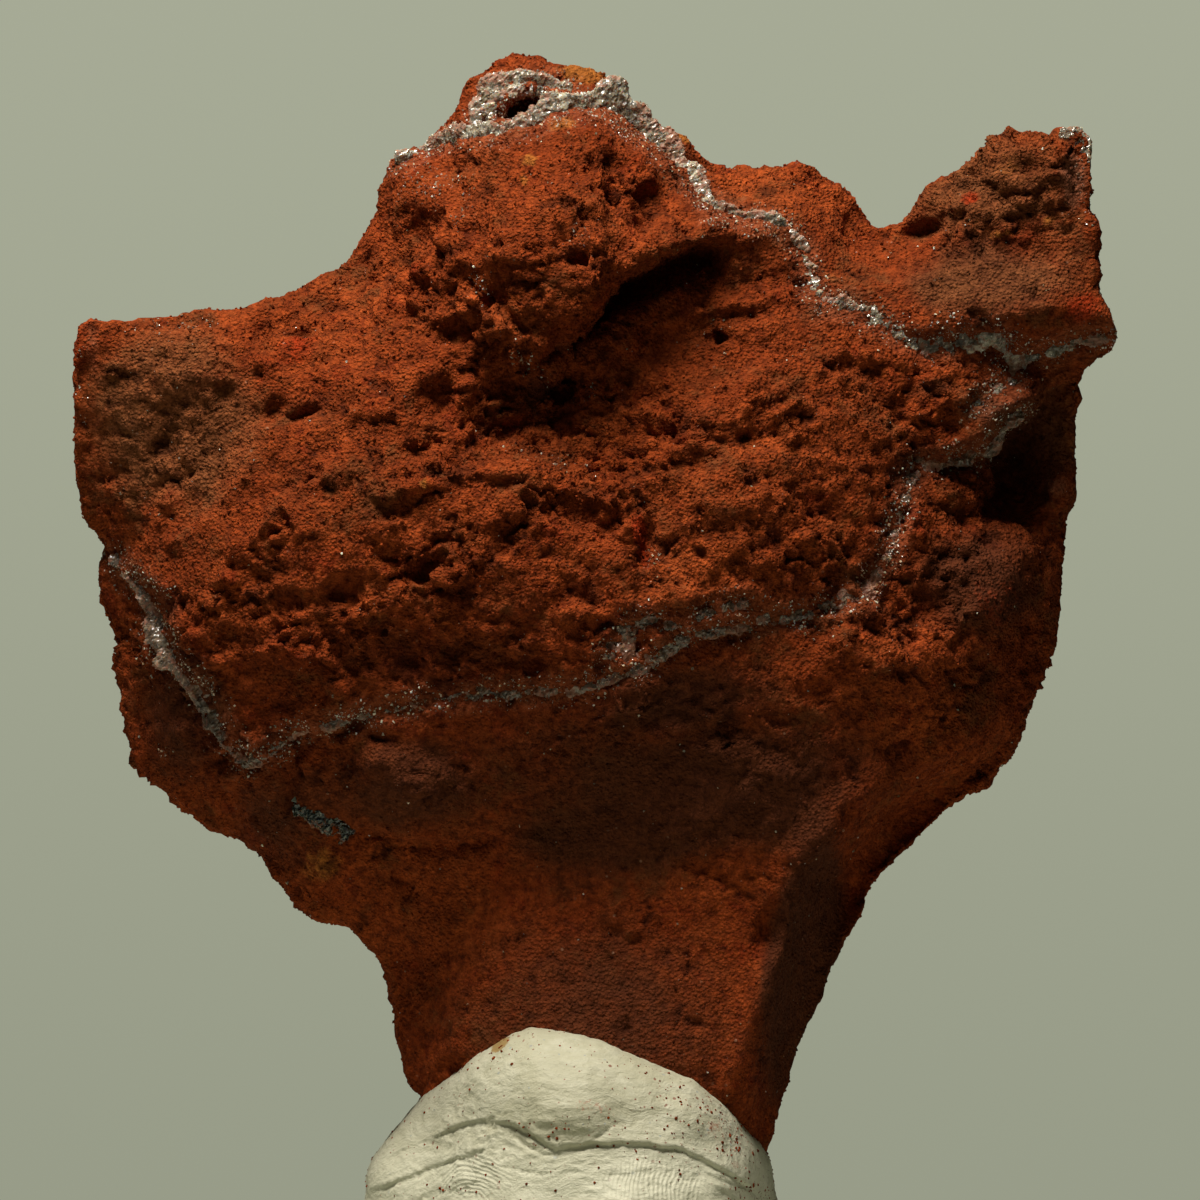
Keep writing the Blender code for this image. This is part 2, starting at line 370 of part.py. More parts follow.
def distance_to(x, z, path, closed=False, endless=False):
    """Distance to a path, and the same with a sign that is positive on the left of its run.

    An endless path goes straight on past its first and last points.
    """
    stops = list(path) + ([path[0]] if closed else [])
    last = len(stops) - 2
    nearest = np.full(x.shape, 1e9)
    signed = np.full(x.shape, 1e9)
    for k, ((ax, az, *_), (bx, bz, *_)) in enumerate(zip(stops, stops[1:])):
        dx = bx - ax
        dz = bz - az
        low = -np.inf if endless and k == 0 else 0
        high = np.inf if endless and k == last else 1
        along = np.clip(((x - ax) * dx + (z - az) * dz) / (dx * dx + dz * dz), low, high)
        away = np.hypot(x - ax - along * dx, z - az - along * dz)
        side = np.sign(dx * (z - az) - dz * (x - ax))
        closer = away < nearest
        nearest = np.where(closer, away, nearest)
        signed = np.where(closer, away * side, signed)
    return nearest, signed


def inside(x, z, outline):
    """True where a point lies inside a closed outline."""
    result = np.zeros(x.shape, bool)
    for (ax, az), (bx, bz) in zip(outline, outline[1:] + outline[:1]):
        crosses = (az > z) != (bz > z)
        lean = (bx - ax) / (bz - az) if bz != az else 0.0
        result ^= crosses & (x < ax + (z - az) * lean)
    return result


def depth_inside(x, z, outline):
    """Distance to a closed outline, positive inside it."""
    away, _ = distance_to(x, z, outline, closed=True)
    return np.where(inside(x, z, outline), away, -away)


def ramp(value, low, high):
    """A smooth change from 0 at low to 1 at high."""
    t = np.clip((value - low) / (high - low), 0, 1)
    return t * t * (3 - 2 * t)


def forms(x, z, table):
    """The lumps and hollows of a table, added up."""
    total = np.zeros(x.shape)
    for cx, cz, length, width, turn, forward, steep in table:
        c = math.cos(math.radians(turn))
        s = math.sin(math.radians(turn))
        u = ((x - cx) * c + (z - cz) * s) / length
        v = (-(x - cx) * s + (z - cz) * c) / width
        q = np.hypot(u, v)
        soft = np.clip(1 - q * q, 0, 1) ** 2
        hard = 1 - ramp(q, 0.45, 1.0)
        total += forward * (soft * (1 - steep) + hard * steep)
    return total


def ledges(x, z, table):
    """The steps of a table: forward beside the path, fading with the distance from it."""
    total = np.zeros(x.shape)
    for path, forward, reach in table:
        away, signed = distance_to(x, z, path)
        total += forward * ramp(signed, -0.5, 0.5) * np.clip(1 - away / reach, 0, 1) ** 1.5
    return total


def cracks(x, z, table):
    total = np.zeros(x.shape)
    for path, depth, half in table:
        away, _ = distance_to(x, z, path)
        total -= depth * np.clip(1 - (away / half) ** 2, 0, 1) ** 2
    return total


def arrises(x, z, table):
    """Faces that fall back from an edge, on the right of its run or, for a negative slope, on its left."""
    total = np.zeros(x.shape)
    for path, slope, soft in table:
        _, signed = distance_to(x, z, path, endless=True)
        beyond = -signed if slope > 0 else signed
        fall = np.where(beyond > 0, np.hypot(beyond, soft) - soft, 0.0)
        total -= abs(slope) * fall
    return total


def lobe_outline():
    """The closed ring of calcite round the front block, with the left panel's free edges."""
    top = [point[:2] for point in UPPER_SEAM[:34]]
    right = [(44.0, 94.0), (43.5, 91.8)] + [point[:2] for point in LOWER_SEAM]
    left = [point[:2] for point in LEFT_SEAM[1:]]
    panel = [(-54.0, 77.0), (-56.0, 102.0), (-30.0, 110.0)]
    return top + right + left + panel


class Rock:
    """The two surfaces of the rock as functions of x and z."""

    def __init__(self):
        self.lobe = smooth_field(LOBE_FRONT)
        self.shoulder = smooth_field(SHOULDER_FRONT)
        self.behind = smooth_field(ROCK_BACK)
        self.rim_back = smooth_field(ROCK_RIM, 2)
        self.rim_half = smooth_field(ROCK_RIM, 3)
        self.ring = lobe_outline()

    def rounding(self, x, z):
        u = np.clip(depth_inside(x, z, ROCK_OUTLINE) / ROCK_EDGE_ROUNDING, 0, 1)
        return 1 - (1 - u) ** ROCK_EDGE_CURVE

    def front(self, x, z):
        """How far the front comes forward of the middle plane."""
        within = ramp(depth_inside(x, z, self.ring), -LOBE_EDGE, LOBE_EDGE)
        height = self.shoulder(x, z) * (1 - within) + self.lobe(x, z) * within
        height += forms(x, z, FRONT_FORMS) + ledges(x, z, FRONT_LEDGES) + cracks(x, z, FRONT_CRACKS)
        height += arrises(x, z, FRONT_ARRISES)
        rim = self.rim_half(x, z) - self.rim_back(x, z)
        height = np.maximum(height, rim - FRONT_SINK_LIMIT)
        return rim + (height - rim) * self.rounding(x, z)

    def back(self, x, z):
        """How far the back goes behind the middle plane."""
        height = self.behind(x, z) + forms(x, z, BACK_FORMS)
        height += arrises(x, z, BACK_ARRISES) + ledges(x, z, BACK_LEDGES)
        rim = self.rim_half(x, z) + self.rim_back(x, z)
        height = np.maximum(height, rim - BACK_SINK_LIMIT)
        return rim + (height - rim) * self.rounding(x, z)


class Putty:
    """The two surfaces of the putty: the stem's own surface plus a thickness that grows from its edge."""

    def __init__(self, rock):
        self.rock = rock

    def swell(self, x, z):
        u = np.clip(depth_inside(x, z, PUTTY_OUTLINE) / PUTTY_EDGE_ROUNDING, 0, 1)
        return np.sqrt(np.clip(1 - (1 - u) ** 2, 0, 1))

    def front(self, x, z):
        thickness = PUTTY_THICKNESS * self.swell(x, z)
        return self.stem(self.rock.front, x, z) + thickness + self.relief(x, z)

    def back(self, x, z):
        return self.stem(self.rock.back, x, z) + PUTTY_THICKNESS * self.swell(x, z)

    def stem(self, surface, x, z):
        """The stem's surface, held at the foot's level below the foot."""
        return surface(x, np.maximum(z, FOOT_LEVEL))

    def relief(self, x, z):
        edge = np.clip(depth_inside(x, z, PUTTY_OUTLINE) / 2.0, 0, 1)
        return edge * (ledges(x, z, PUTTY_FOLDS) + forms(x, z, PUTTY_LUMPS))


def plate(name, outline, collection):
    """A flat plate with the given outline, standing in the plane y = 0."""
    curve = bpy.data.curves.new(name, "CURVE")
    curve.dimensions = "2D"
    curve.fill_mode = "BOTH"
    curve.extrude = PLATE_HALF * MM
    spline = curve.splines.new("POLY")
    spline.points.add(len(outline) - 1)
    for point, (x, z) in zip(spline.points, outline):
        point.co = (x * MM, z * MM, 0.0, 1.0)
    spline.use_cyclic_u = True
    guide = bpy.data.objects.new(name, curve)
    guide.rotation_euler.x = math.radians(90)
    collection.objects.link(guide)
    mesh = applied(guide)
    bpy.data.objects.remove(guide, do_unlink=True)
    bm = bmesh.new()
    bm.from_mesh(mesh)
    bmesh.ops.remove_doubles(bm, verts=bm.verts, dist=0.00001)
    bm.to_mesh(mesh)
    bm.free()
    return object_from(name, mesh, collection)


def remesh(obj, voxel):
    modifier = obj.modifiers.new("even_skin", "REMESH")
    modifier.mode = "VOXEL"
    modifier.voxel_size = voxel * MM
    settle(obj)


def drawn_body(name, outline, front, back, voxel, collection):
    """A body with the given outline whose plate is pulled out to its front and back surfaces."""
    body = plate(name, outline, collection)
    remesh(body, PLATE_VOXEL)
    points = points_of(body.data)
    x = points[:, 0]
    z = points[:, 2]
    share = np.clip((points[:, 1] + PLATE_HALF) / (2 * PLATE_HALF), 0, 1)
    points[:, 1] = -front(x, z) * (1 - share) + back(x, z) * share
    set_points(body.data, points)
    remesh(body, voxel)
    return body


def weigh_roughness(obj, field):
    """A vertex group that holds how rough the skin is at each point."""
    points = points_of(obj.data)
    share = np.clip(field(points[:, 0], points[:, 2]), 0.1, 1.2) / 1.2
    group = obj.vertex_groups.new(name="roughness")
    levels = np.rint(share * ROUGH_STEPS).astype(int)
    for level in range(1, ROUGH_STEPS + 1):
        group.add(np.nonzero(levels == level)[0].tolist(), level / ROUGH_STEPS, "REPLACE")


def roughen(obj, kind, size, strength):
    """Push the skin in and out by one of Blender's cloud or cell textures."""
    texture = bpy.data.textures.new(f"{obj.name}_{kind.lower()}_{size}", kind)
    texture.noise_scale = size * MM
    modifier = obj.modifiers.new(texture.name, "DISPLACE")
    modifier.texture = texture
    modifier.texture_coords = "LOCAL"
    modifier.strength = strength * MM
    modifier.mid_level = 0.5
    modifier.vertex_group = "roughness"


def thin_out(obj, triangles):
    """Fewer, larger faces where the surface is plain."""
    obj.data.calc_loop_triangles()
    modifier = obj.modifiers.new("fewer_faces", "DECIMATE")
    modifier.ratio = triangles / len(obj.data.loop_triangles)
    settle(obj)


def swollen_copy(obj, name, amount, collection):
    """A cutter that stands off the object's skin by the given gap."""
    mesh = obj.data.copy()
    normals = np.empty(len(mesh.vertices) * 3)
    mesh.vertices.foreach_get("normal", normals)
    set_points(mesh, points_of(mesh) + amount * normals.reshape(-1, 3))
    cutter = object_from(name, mesh, collection)
    cutter.hide_render = True
    cutter.display_type = "WIRE"
    return cutter


def groove_for(matrix, crystals, triangles, collection):
    """Cut the crystals' groove in the rock, a little wider than they are all round."""
    cutter = swollen_copy(crystals, f"{crystals.name}_groove", GROOVE_ROOM, collection)
    remesh(cutter, GROOVE_VOXEL)
    thin_out(cutter, GROOVE_SHARE * triangles)
    cut(matrix, cutter)


def cut(obj, cutter):
    modifier = obj.modifiers.new(f"clear_of_{cutter.name}", "BOOLEAN")
    modifier.operation = "DIFFERENCE"
    modifier.object = cutter
    settle(obj)


def along(path, step):
    """Points on a path about one step apart, as (x, z, width)."""
    for start, end in zip(path, path[1:]):
        run = math.hypot(end[0] - start[0], end[1] - start[1])
        count = max(1, round(run / step))
        for k in range(count):
            t = k / count
            yield tuple(a + (b - a) * t for a, b in zip(start, end))
    yield path[-1]


def rhomb(bm, place, size, turn):
    """One cleavage rhomb of calcite: a cube squashed along its diagonal."""
    to_diagonal = Vector((1, 1, 1)).rotation_difference(Vector((0, 0, 1))).to_matrix().to_4x4()
    squash = Matrix.Diagonal((1, 1, CALCITE_SQUASH, 1))
    move = Matrix.Translation(place) @ turn @ squash @ to_diagonal
    bmesh.ops.create_cube(bm, size=size, matrix=move)


def largest_body(obj):
    """Drop the loose crumbs that a cut leaves, and keep the one body that is left."""
    bm = bmesh.new()
    bm.from_mesh(obj.data)
    bmesh.ops.remove_doubles(bm, verts=bm.verts, dist=0.000001)
    left = set(bm.verts)
    bodies = []
    while left:
        queue = [left.pop()]
        body = set(queue)
        while queue:
            for edge in queue.pop().link_edges:
                for vert in edge.verts:
                    if vert in left:
                        left.remove(vert)
                        body.add(vert)
                        queue.append(vert)
        bodies.append(body)
    bodies.sort(key=len, reverse=True)
    for body in bodies[1:]:
        bmesh.ops.delete(bm, geom=list(body), context="VERTS")
    bm.to_mesh(obj.data)
    bm.free()


def skin_depth(tree, x, z):
    """Where a straight look from the front meets the skin, in millimetres."""
    hit = tree.ray_cast(Vector((x * MM, -0.2, z * MM)), Vector((0, 1, 0)))[0]
    return None if hit is None else hit.y / MM


def seam_route(path, step, tree, rock):
    """The path with a depth for each point, as (x, y, z, width), never deeper than its neighbours."""
    stops = list(along(path, step))
    depths = []
    for x, z, _ in stops:
        depth = skin_depth(tree, x, z)
        depths.append(-float(rock.front(np.array([x]), np.array([z]))[0]) if depth is None else depth)
    route = []
    for k, (x, z, width) in enumerate(stops):
        near = depths[max(0, k - 1) : k + 2]
        route.append((x, 0.5 * min(near) + 0.5 * sum(near) / len(near), z, width))
    return route


def bar_along(name, route, collection):
    """A bar along the route, as thick as the seam."""
    curve = bpy.data.curves.new(name, "CURVE")
    curve.dimensions = "3D"
    curve.bevel_depth = MM
    curve.bevel_resolution = 0
    curve.use_fill_caps = True
    spline = curve.splines.new("POLY")
    spline.points.add(len(route) - 1)
    for point, (x, y, z, width) in zip(spline.points, route):
        point.co = (x * MM, y * MM, z * MM, 1.0)
        point.radius = width / 2
    guide = bpy.data.objects.new(name, curve)
    collection.objects.link(guide)
    mesh = applied(guide)
    bpy.data.objects.remove(guide, do_unlink=True)
    bm = bmesh.new()
    bm.from_mesh(mesh)
    bmesh.ops.remove_doubles(bm, verts=bm.verts, dist=0.00001)
    bmesh.ops.recalc_face_normals(bm, faces=bm.faces)
    bm.to_mesh(mesh)
    bm.free()
    return mesh


@dataclass
class Seam:
    """Calcite crystals grown together along some paths."""

    name: str
    paths: list
    step: float
    triangles: int
    seed: int


SEAMS = [
    Seam("calcite_vein_upper", [UPPER_SEAM, VUG_RING, SPUR_SEAM], step=2.0, triangles=1350, seed=3),
    Seam("calcite_vein_lower", [LOWER_SEAM, LEFT_SEAM, CRYSTAL_BLOCK], step=2.0, triangles=1450, seed=5),
    Seam("calcite_horn_tip", [HORN_TIP], step=1.2, triangles=110, seed=7),
    Seam("calcite_dark_druse", [DARK_DRUSE], step=1.2, triangles=140, seed=11),
]


def crystal_seam(seam, routes, collection):
    """Blocky crystals grown together along the routes, on a bar that fills the groove in the rock."""
    chance = random.Random(seam.seed)
    bm = bmesh.new()
    for route in routes:
        bar = bar_along(f"{seam.name}_bar", route, collection)
        bm.from_mesh(bar)
        bpy.data.meshes.remove(bar)
        for x, y, z, width in route:
            shift = [chance.uniform(-0.2, 0.2) * width for _ in range(2)]
            place = Vector((x + shift[0], y - CRYSTAL_SINK * width, z + shift[1])) * MM
            turn = Matrix.Rotation(chance.uniform(0, math.tau), 4, "Z") @ Matrix.Rotation(
                chance.uniform(0, math.tau), 4, "X"
            )
            rhomb(bm, place, width * chance.uniform(0.9, 1.3) * MM, turn)
    mesh = bpy.data.meshes.new(seam.name)
    bm.to_mesh(mesh)
    bm.free()
    crystals = object_from(seam.name, mesh, collection)
    remesh(crystals, SEAM_VOXEL)
    thin_out(crystals, seam.triangles)
    return crystals


def flat_underside(obj):
    """Cut the body off flat at the table."""
    bm = bmesh.new()
    bm.from_mesh(obj.data)
    everything = list(bm.verts) + list(bm.edges) + list(bm.faces)
    result = bmesh.ops.bisect_plane(
        bm, geom=everything, dist=0.000001, plane_co=(0, 0, 0), plane_no=(0, 0, -1), clear_outer=True
    )
    rim = [edge for edge in result["geom_cut"] if isinstance(edge, bmesh.types.BMEdge)]
    bmesh.ops.contextual_create(bm, geom=rim)
    bmesh.ops.triangulate(bm, faces=[face for face in bm.faces if len(face.verts) > 4])
    bmesh.ops.recalc_face_normals(bm, faces=bm.faces)
    bm.to_mesh(obj.data)
    bm.free()


def main():
    clear_scene()
    parts = new_collection("calcite_with_hematite_on_matrix")
    cutters = new_collection("cutters")

    rock = Rock()
    matrix = drawn_body("matrix", ROCK_OUTLINE, rock.front, rock.back, ROCK_VOXEL, parts)
    weigh_roughness(matrix, smooth_field(ROCK_ROUGHNESS))
    roughen(matrix, *ROUGH_LUMPS)
    roughen(matrix, *ROUGH_GRAIN)
    settle(matrix)
    remesh(matrix, ROCK_VOXEL)
    thin_out(matrix, ROCK_TRIANGLES)
    matrix.data.materials.append(finish_of("hematite_earth", (0.30, 0.07, 0.03), 0.95))

    skin = BVHTree.FromObject(matrix, bpy.context.evaluated_depsgraph_get())
    calcite = finish_of("calcite_crystal", (0.72, 0.66, 0.60), 0.25, transmission=0.4)
    for seam in SEAMS:
        routes = [seam_route(path, seam.step, skin, rock) for path in seam.paths]
        crystals = crystal_seam(seam, routes, parts)
        crystals.data.materials.append(calcite)
        groove_for(matrix, crystals, seam.triangles, cutters)
    largest_body(matrix)
    clearance = swollen_copy(matrix, "matrix_clearance", GAP, cutters)

    putty = Putty(rock)
    mounting_putty = drawn_body(
        "mounting_putty", PUTTY_OUTLINE, putty.front, putty.back, PUTTY_VOXEL, parts
    )
    thin_out(mounting_putty, PUTTY_TRIANGLES)
    flat_underside(mounting_putty)
    cut(mounting_putty, clearance)
    largest_body(mounting_putty)
    mounting_putty.data.materials.append(finish_of("pale_putty", (0.62, 0.60, 0.44), 0.6))


if __name__ == "__main__":
    main()
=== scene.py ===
"""Looks of a calcite and hematite specimen: red earthy rock, seams of calcite crystals and a lump of putty.

Lengths in the tables are millimetres. x runs to the right, z runs up from the table, and heights come
forward of the middle plane y = 0, towards the viewer at -Y. Finished meshes are in metres.
"""

from __future__ import annotations

import logging
import math
from dataclasses import dataclass, field
from enum import StrEnum
from typing import Callable, Iterator

import bmesh
import bpy
import numpy as np
from mathutils import Matrix, Vector, noise
from mathutils.bvhtree import BVHTree

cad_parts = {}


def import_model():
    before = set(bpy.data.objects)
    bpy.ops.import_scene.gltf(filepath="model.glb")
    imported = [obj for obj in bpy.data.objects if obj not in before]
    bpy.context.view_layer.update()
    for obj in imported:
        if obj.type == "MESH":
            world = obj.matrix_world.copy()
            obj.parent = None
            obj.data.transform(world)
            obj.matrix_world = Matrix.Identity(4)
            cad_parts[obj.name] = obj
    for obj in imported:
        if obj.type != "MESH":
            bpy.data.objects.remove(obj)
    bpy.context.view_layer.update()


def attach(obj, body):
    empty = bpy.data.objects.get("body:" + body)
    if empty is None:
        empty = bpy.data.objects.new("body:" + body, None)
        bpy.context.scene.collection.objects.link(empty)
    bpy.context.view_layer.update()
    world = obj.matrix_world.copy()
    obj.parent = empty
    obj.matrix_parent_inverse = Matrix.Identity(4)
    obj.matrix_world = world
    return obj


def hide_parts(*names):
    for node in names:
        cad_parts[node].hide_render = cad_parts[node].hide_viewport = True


LOG = logging.getLogger("specimen")
MM = 0.001

Row = tuple[float, ...]
Path = list[Row]
Surface = Callable[[np.ndarray, np.ndarray], np.ndarray]


class Slot(StrEnum):
    """The frame's material slots."""

    ROCK = "hematite_rock"
    CALCITE = "calcite"
    PUTTY = "putty"


PLATE_HALF = 10.0
ROCK_EDGE_ROUNDING = 6.5
ROCK_EDGE_CURVE = 1.9
FRONT_SINK_LIMIT = 9.0
BACK_SINK_LIMIT = 2.0
LOBE_EDGE = 0.8
LEDGE_LIP = 0.4
FOOT_LEVEL = 21.0
PUTTY_THICKNESS = 9.5
PUTTY_EDGE_ROUNDING = 15.0
RIDGE_STEP = 0.45
SEAM_VOXEL = 0.25
CALCITE_SQUASH = 0.698
CORNER_TILT = math.atan(math.sqrt(2))
TROUGH_DEPTH = 0.7
SEAM_SINK = 0.13
SEAM_FLATNESS = 0.28
SEAM_EVENING = 0.8
TROUGH_HALF = 1.3
SEAM_DUST_REACH = 4.0
BACK_COARSENESS = 0.75
SPARSE_SPARKLES = 0.005
SEAM_SPARKLES = 0.5
BEDDING = (0.9, 1.0, 1.12)

# Outline of the rock from the front, clockwise from the top left corner of the flat left panel.
# The last stretch, below z = 22, is the foot inside the putty.
ROCK_OUTLINE = [
    (-51.4, 99.9), (-47.4, 99.7), (-42.0, 100.4), (-35.5, 100.7), (-30.9, 102.3), (-28.0, 104.3),
    (-25.0, 105.4), (-24.0, 107.5), (-22.0, 109.6), (-21.8, 112.5), (-20.9, 115.9), (-19.4, 116.6),
    (-16.8, 116.6), (-16.4, 118.2), (-15.0, 119.8), (-14.1, 121.7), (-13.8, 124.2), (-12.5, 125.0),
    (-9.9, 126.0), (-6.6, 126.2), (-3.7, 125.0), (0.0, 124.1), (1.7, 123.0), (3.8, 121.5), (4.8, 120.1),
    (7.3, 118.8), (8.8, 117.8), (10.3, 115.7), (14.2, 115.0), (19.7, 115.2), (21.8, 114.2), (26.0, 112.1),
    (27.0, 109.2), (28.9, 109.3), (30.2, 109.8), (31.2, 111.3), (32.3, 113.6), (34.4, 114.6),
    (36.4, 115.7), (39.4, 117.7), (45.2, 118.4), (46.5, 119.0), (48.4, 118.9), (49.0, 117.5),
    (48.8, 112.1), (49.4, 108.7), (49.6, 103.5), (50.7, 100.6), (51.7, 98.7), (51.1, 96.6), (49.6, 95.8),
    (47.9, 94.7), (47.6, 91.4), (47.3, 88.8), (47.8, 86.1), (47.8, 82.3), (46.5, 80.5), (46.1, 75.7),
    (45.9, 72.3), (46.2, 70.5), (45.5, 67.0), (44.6, 64.3), (42.3, 58.6), (40.6, 55.9), (38.6, 54.0),
    (35.2, 51.7), (33.7, 50.2), (30.2, 46.6), (27.2, 43.9), (26.1, 40.6), (24.1, 37.6), (22.0, 32.0),
    (19.5, 26.5), (18.4, 22.6), (17.0, 18.0), (14.5, 12.5), (9.0, 9.0), (1.0, 8.0), (-7.0, 9.0),
    (-13.0, 13.0), (-16.0, 18.0), (-17.8, 22.4), (-19.6, 24.7), (-20.4, 28.8), (-20.6, 31.4),
    (-21.7, 35.8), (-23.1, 37.2), (-25.0, 39.7), (-28.2, 40.2), (-31.3, 42.7), (-34.7, 46.7),
    (-36.7, 48.3), (-39.0, 48.8), (-40.9, 50.4), (-43.5, 53.2), (-45.7, 55.2), (-46.6, 56.7),
    (-47.2, 59.0), (-48.4, 64.7), (-48.1, 67.8), (-49.5, 72.0), (-50.1, 75.0), (-49.1, 77.3),
    (-50.8, 79.4), (-51.8, 80.3), (-52.2, 84.6), (-52.2, 95.3), (-52.0, 97.9),
]

# Seams of calcite as (x, z, width) from the front.
UPPER_SEAM = [
    (-20.2, 115.6, 2.4), (-18.4, 116.0, 2.0), (-16.2, 117.6, 1.6), (-14.6, 117.8, 2.4), (-12.4, 118.0, 2.4),
    (-9.6, 118.4, 2.4), (-6.6, 119.2, 2.6), (-4.8, 120.4, 3.2), (-2.0, 121.0, 4.2), (0.6, 121.2, 4.4),
    (2.8, 119.9, 4.4), (4.7, 118.2, 4.2), (6.9, 116.4, 3.6), (8.3, 114.8, 3.0), (9.5, 113.3, 2.0),
    (11.2, 111.0, 1.4), (13.0, 110.6, 1.5), (15.1, 110.0, 1.4), (17.3, 109.7, 1.4), (19.0, 108.6, 1.4),
    (20.3, 107.2, 1.3), (20.8, 105.2, 1.2), (21.4, 103.0, 1.2), (22.3, 101.7, 1.4), (24.1, 101.5, 1.8),
    (26.0, 100.5, 2.2), (28.2, 99.5, 2.4), (29.6, 98.4, 2.8), (31.2, 97.8, 3.0), (33.2, 97.3, 3.2),
    (35.5, 97.7, 3.0), (37.7, 98.4, 2.6), (39.8, 98.7, 2.0), (40.6, 97.0, 1.8), (41.4, 95.6, 1.8),
    (41.2, 94.0, 1.6), (40.1, 93.2, 1.4), (38.6, 92.2, 1.4), (37.2, 91.4, 1.2),
]
VUG_RING = [
    (-12.0, 119.0, 2.4), (-11.7, 121.2, 2.8), (-10.2, 122.8, 2.6), (-7.8, 123.6, 2.2), (-5.0, 123.5, 2.2),
    (-3.0, 122.4, 2.8),
]
# Crystals inside the small hole at the top, along its left and upper rim.
VUG_LINING = [
    (-10.9, 119.6, 1.0), (-11.1, 120.8, 1.3), (-10.0, 122.0, 1.2), (-8.4, 122.7, 1.0), (-6.6, 122.9, 0.8),
]
SPUR_SEAM = [
    (40.6, 96.4, 1.6), (42.6, 96.2, 1.4), (45.2, 96.9, 1.4), (47.4, 98.0, 1.4), (49.6, 98.2, 1.4),
    (51.0, 98.4, 1.2),
]
LOWER_SEAM = [
    (42.0, 90.8, 1.4), (40.3, 90.0, 1.5), (39.8, 88.6, 1.4), (38.8, 86.8, 1.6), (37.2, 86.8, 1.6),
    (35.6, 86.2, 1.5), (34.0, 85.8, 1.5), (32.4, 85.7, 1.5), (31.3, 84.7, 1.4), (30.6, 83.2, 1.3),
    (30.0, 81.2, 1.3), (29.4, 79.0, 1.3), (28.8, 77.0, 1.3), (28.0, 75.4, 1.2), (26.8, 73.9, 1.3),
    (26.6, 72.3, 1.6), (24.6, 71.8, 1.6), (22.4, 71.4, 1.5), (20.8, 70.8, 1.4), (18.8, 70.4, 1.6),
    (16.4, 70.2, 1.5), (14.0, 69.4, 1.6), (12.4, 69.2, 1.5), (10.9, 69.2, 1.5), (8.9, 68.9, 1.5),
    (7.0, 67.5, 1.5), (5.1, 66.1, 1.4), (3.2, 65.1, 1.5), (1.5, 64.6, 1.6), (-0.4, 63.9, 1.5),
    (-2.8, 63.2, 1.5), (-6.0, 63.0, 1.4), (-8.4, 62.8, 1.3), (-10.8, 62.7, 1.2), (-13.2, 62.4, 1.2),
    (-15.4, 62.2, 1.2), (-17.8, 62.0, 1.2), (-19.8, 61.4, 1.1), (-21.6, 61.0, 1.1), (-23.6, 60.4, 1.1),
    (-25.7, 60.1, 1.1), (-27.6, 59.6, 1.1), (-29.4, 59.0, 1.1), (-31.0, 58.4, 1.1), (-32.4, 57.2, 1.2),
    (-33.8, 56.4, 1.3), (-35.7, 55.8, 1.6),
]
LEFT_SEAM = [
    (-35.7, 55.9, 1.8), (-36.4, 57.0, 2.2), (-37.2, 58.2, 2.2), (-38.0, 60.0, 2.2), (-39.0, 62.2, 2.4),
    (-40.2, 63.6, 3.0), (-41.6, 64.8, 3.6), (-42.6, 66.4, 4.0), (-43.4, 68.4, 4.0), (-44.0, 70.4, 3.4),
    (-44.8, 72.4, 2.6), (-46.2, 73.6, 1.8), (-47.6, 75.0, 1.4), (-48.6, 76.4, 1.2),
]
CRYSTAL_BLOCK = [
    (0.8, 66.2, 2.6), (1.8, 67.8, 3.2), (3.2, 69.6, 3.6), (4.8, 70.4, 3.0), (6.4, 69.9, 2.4),
    (8.0, 69.6, 1.8), (9.8, 70.5, 1.3), (12.0, 71.2, 1.2), (14.6, 71.8, 1.1),
]
HORN_TIP = [(45.9, 118.1, 1.6), (47.2, 118.3, 1.8), (48.2, 117.6, 1.5), (48.4, 115.8, 1.2)]
DARK_DRUSE = [
    (-30.4, 51.6, 2.0), (-28.9, 51.2, 2.2), (-27.2, 50.6, 2.4), (-25.8, 49.6, 2.8), (-24.8, 48.6, 2.2),
]

# Heights of the block that stands forward, inside the ring of calcite, as (x, z, forward).
LOBE_FRONT = [
    (-17, 113, 8), (-12, 116, 11), (-6, 117, 12.5), (1, 118, 11.5), (6, 113.5, 10.5), (-8, 111, 16.5),
    (-1, 109, 18.5), (0, 103, 18.5), (-6, 100, 17), (-15, 107, 12.5), (-13, 101, 15), (-20, 107, 7),
    (-18, 99, 13), (-26, 101, 7), (-22, 92, 15), (-30, 99, 8.5), (-31, 92, 11.5), (-36, 99, 9.5),
    (-36, 91, 10), (-42, 98, 9), (-43, 90, 8.2), (-49, 97, 7), (-49, 87, 6), (-43, 82, 8.5),
    (-35, 83, 12), (-47, 77, 7), (-42, 73, 11), (-34, 75, 15.5), (-26, 84, 15.5), (-26, 74, 18.2),
    (-17, 87, 17), (-17, 74, 19.5), (-8, 90, 13.5), (-8, 84, 17.5), (-7, 75, 20.5), (-37, 67, 13),
    (-36, 60, 12), (-29, 63, 14.5), (-20, 64, 16.5), (-10, 65, 18), (-1, 67, 19), (2, 76, 18.5),
    (1, 84, 16), (2, 92, 12.5), (8, 72, 19.5), (10, 80, 18), (10, 88, 15.5), (10, 95, 12),
    (6, 99, 10.5), (12, 103, 8.5), (12, 110, 10.5), (17, 106, 7), (17, 100, 9.5), (18, 92, 12.5),
    (19, 84, 14.5), (19, 75, 16), (25, 75, 13), (26, 82, 12), (26, 90, 10.5), (26, 97, 8),
    (33, 88, 8), (33, 94, 7), (39, 92, 6), (44, 93, 4.5),
]

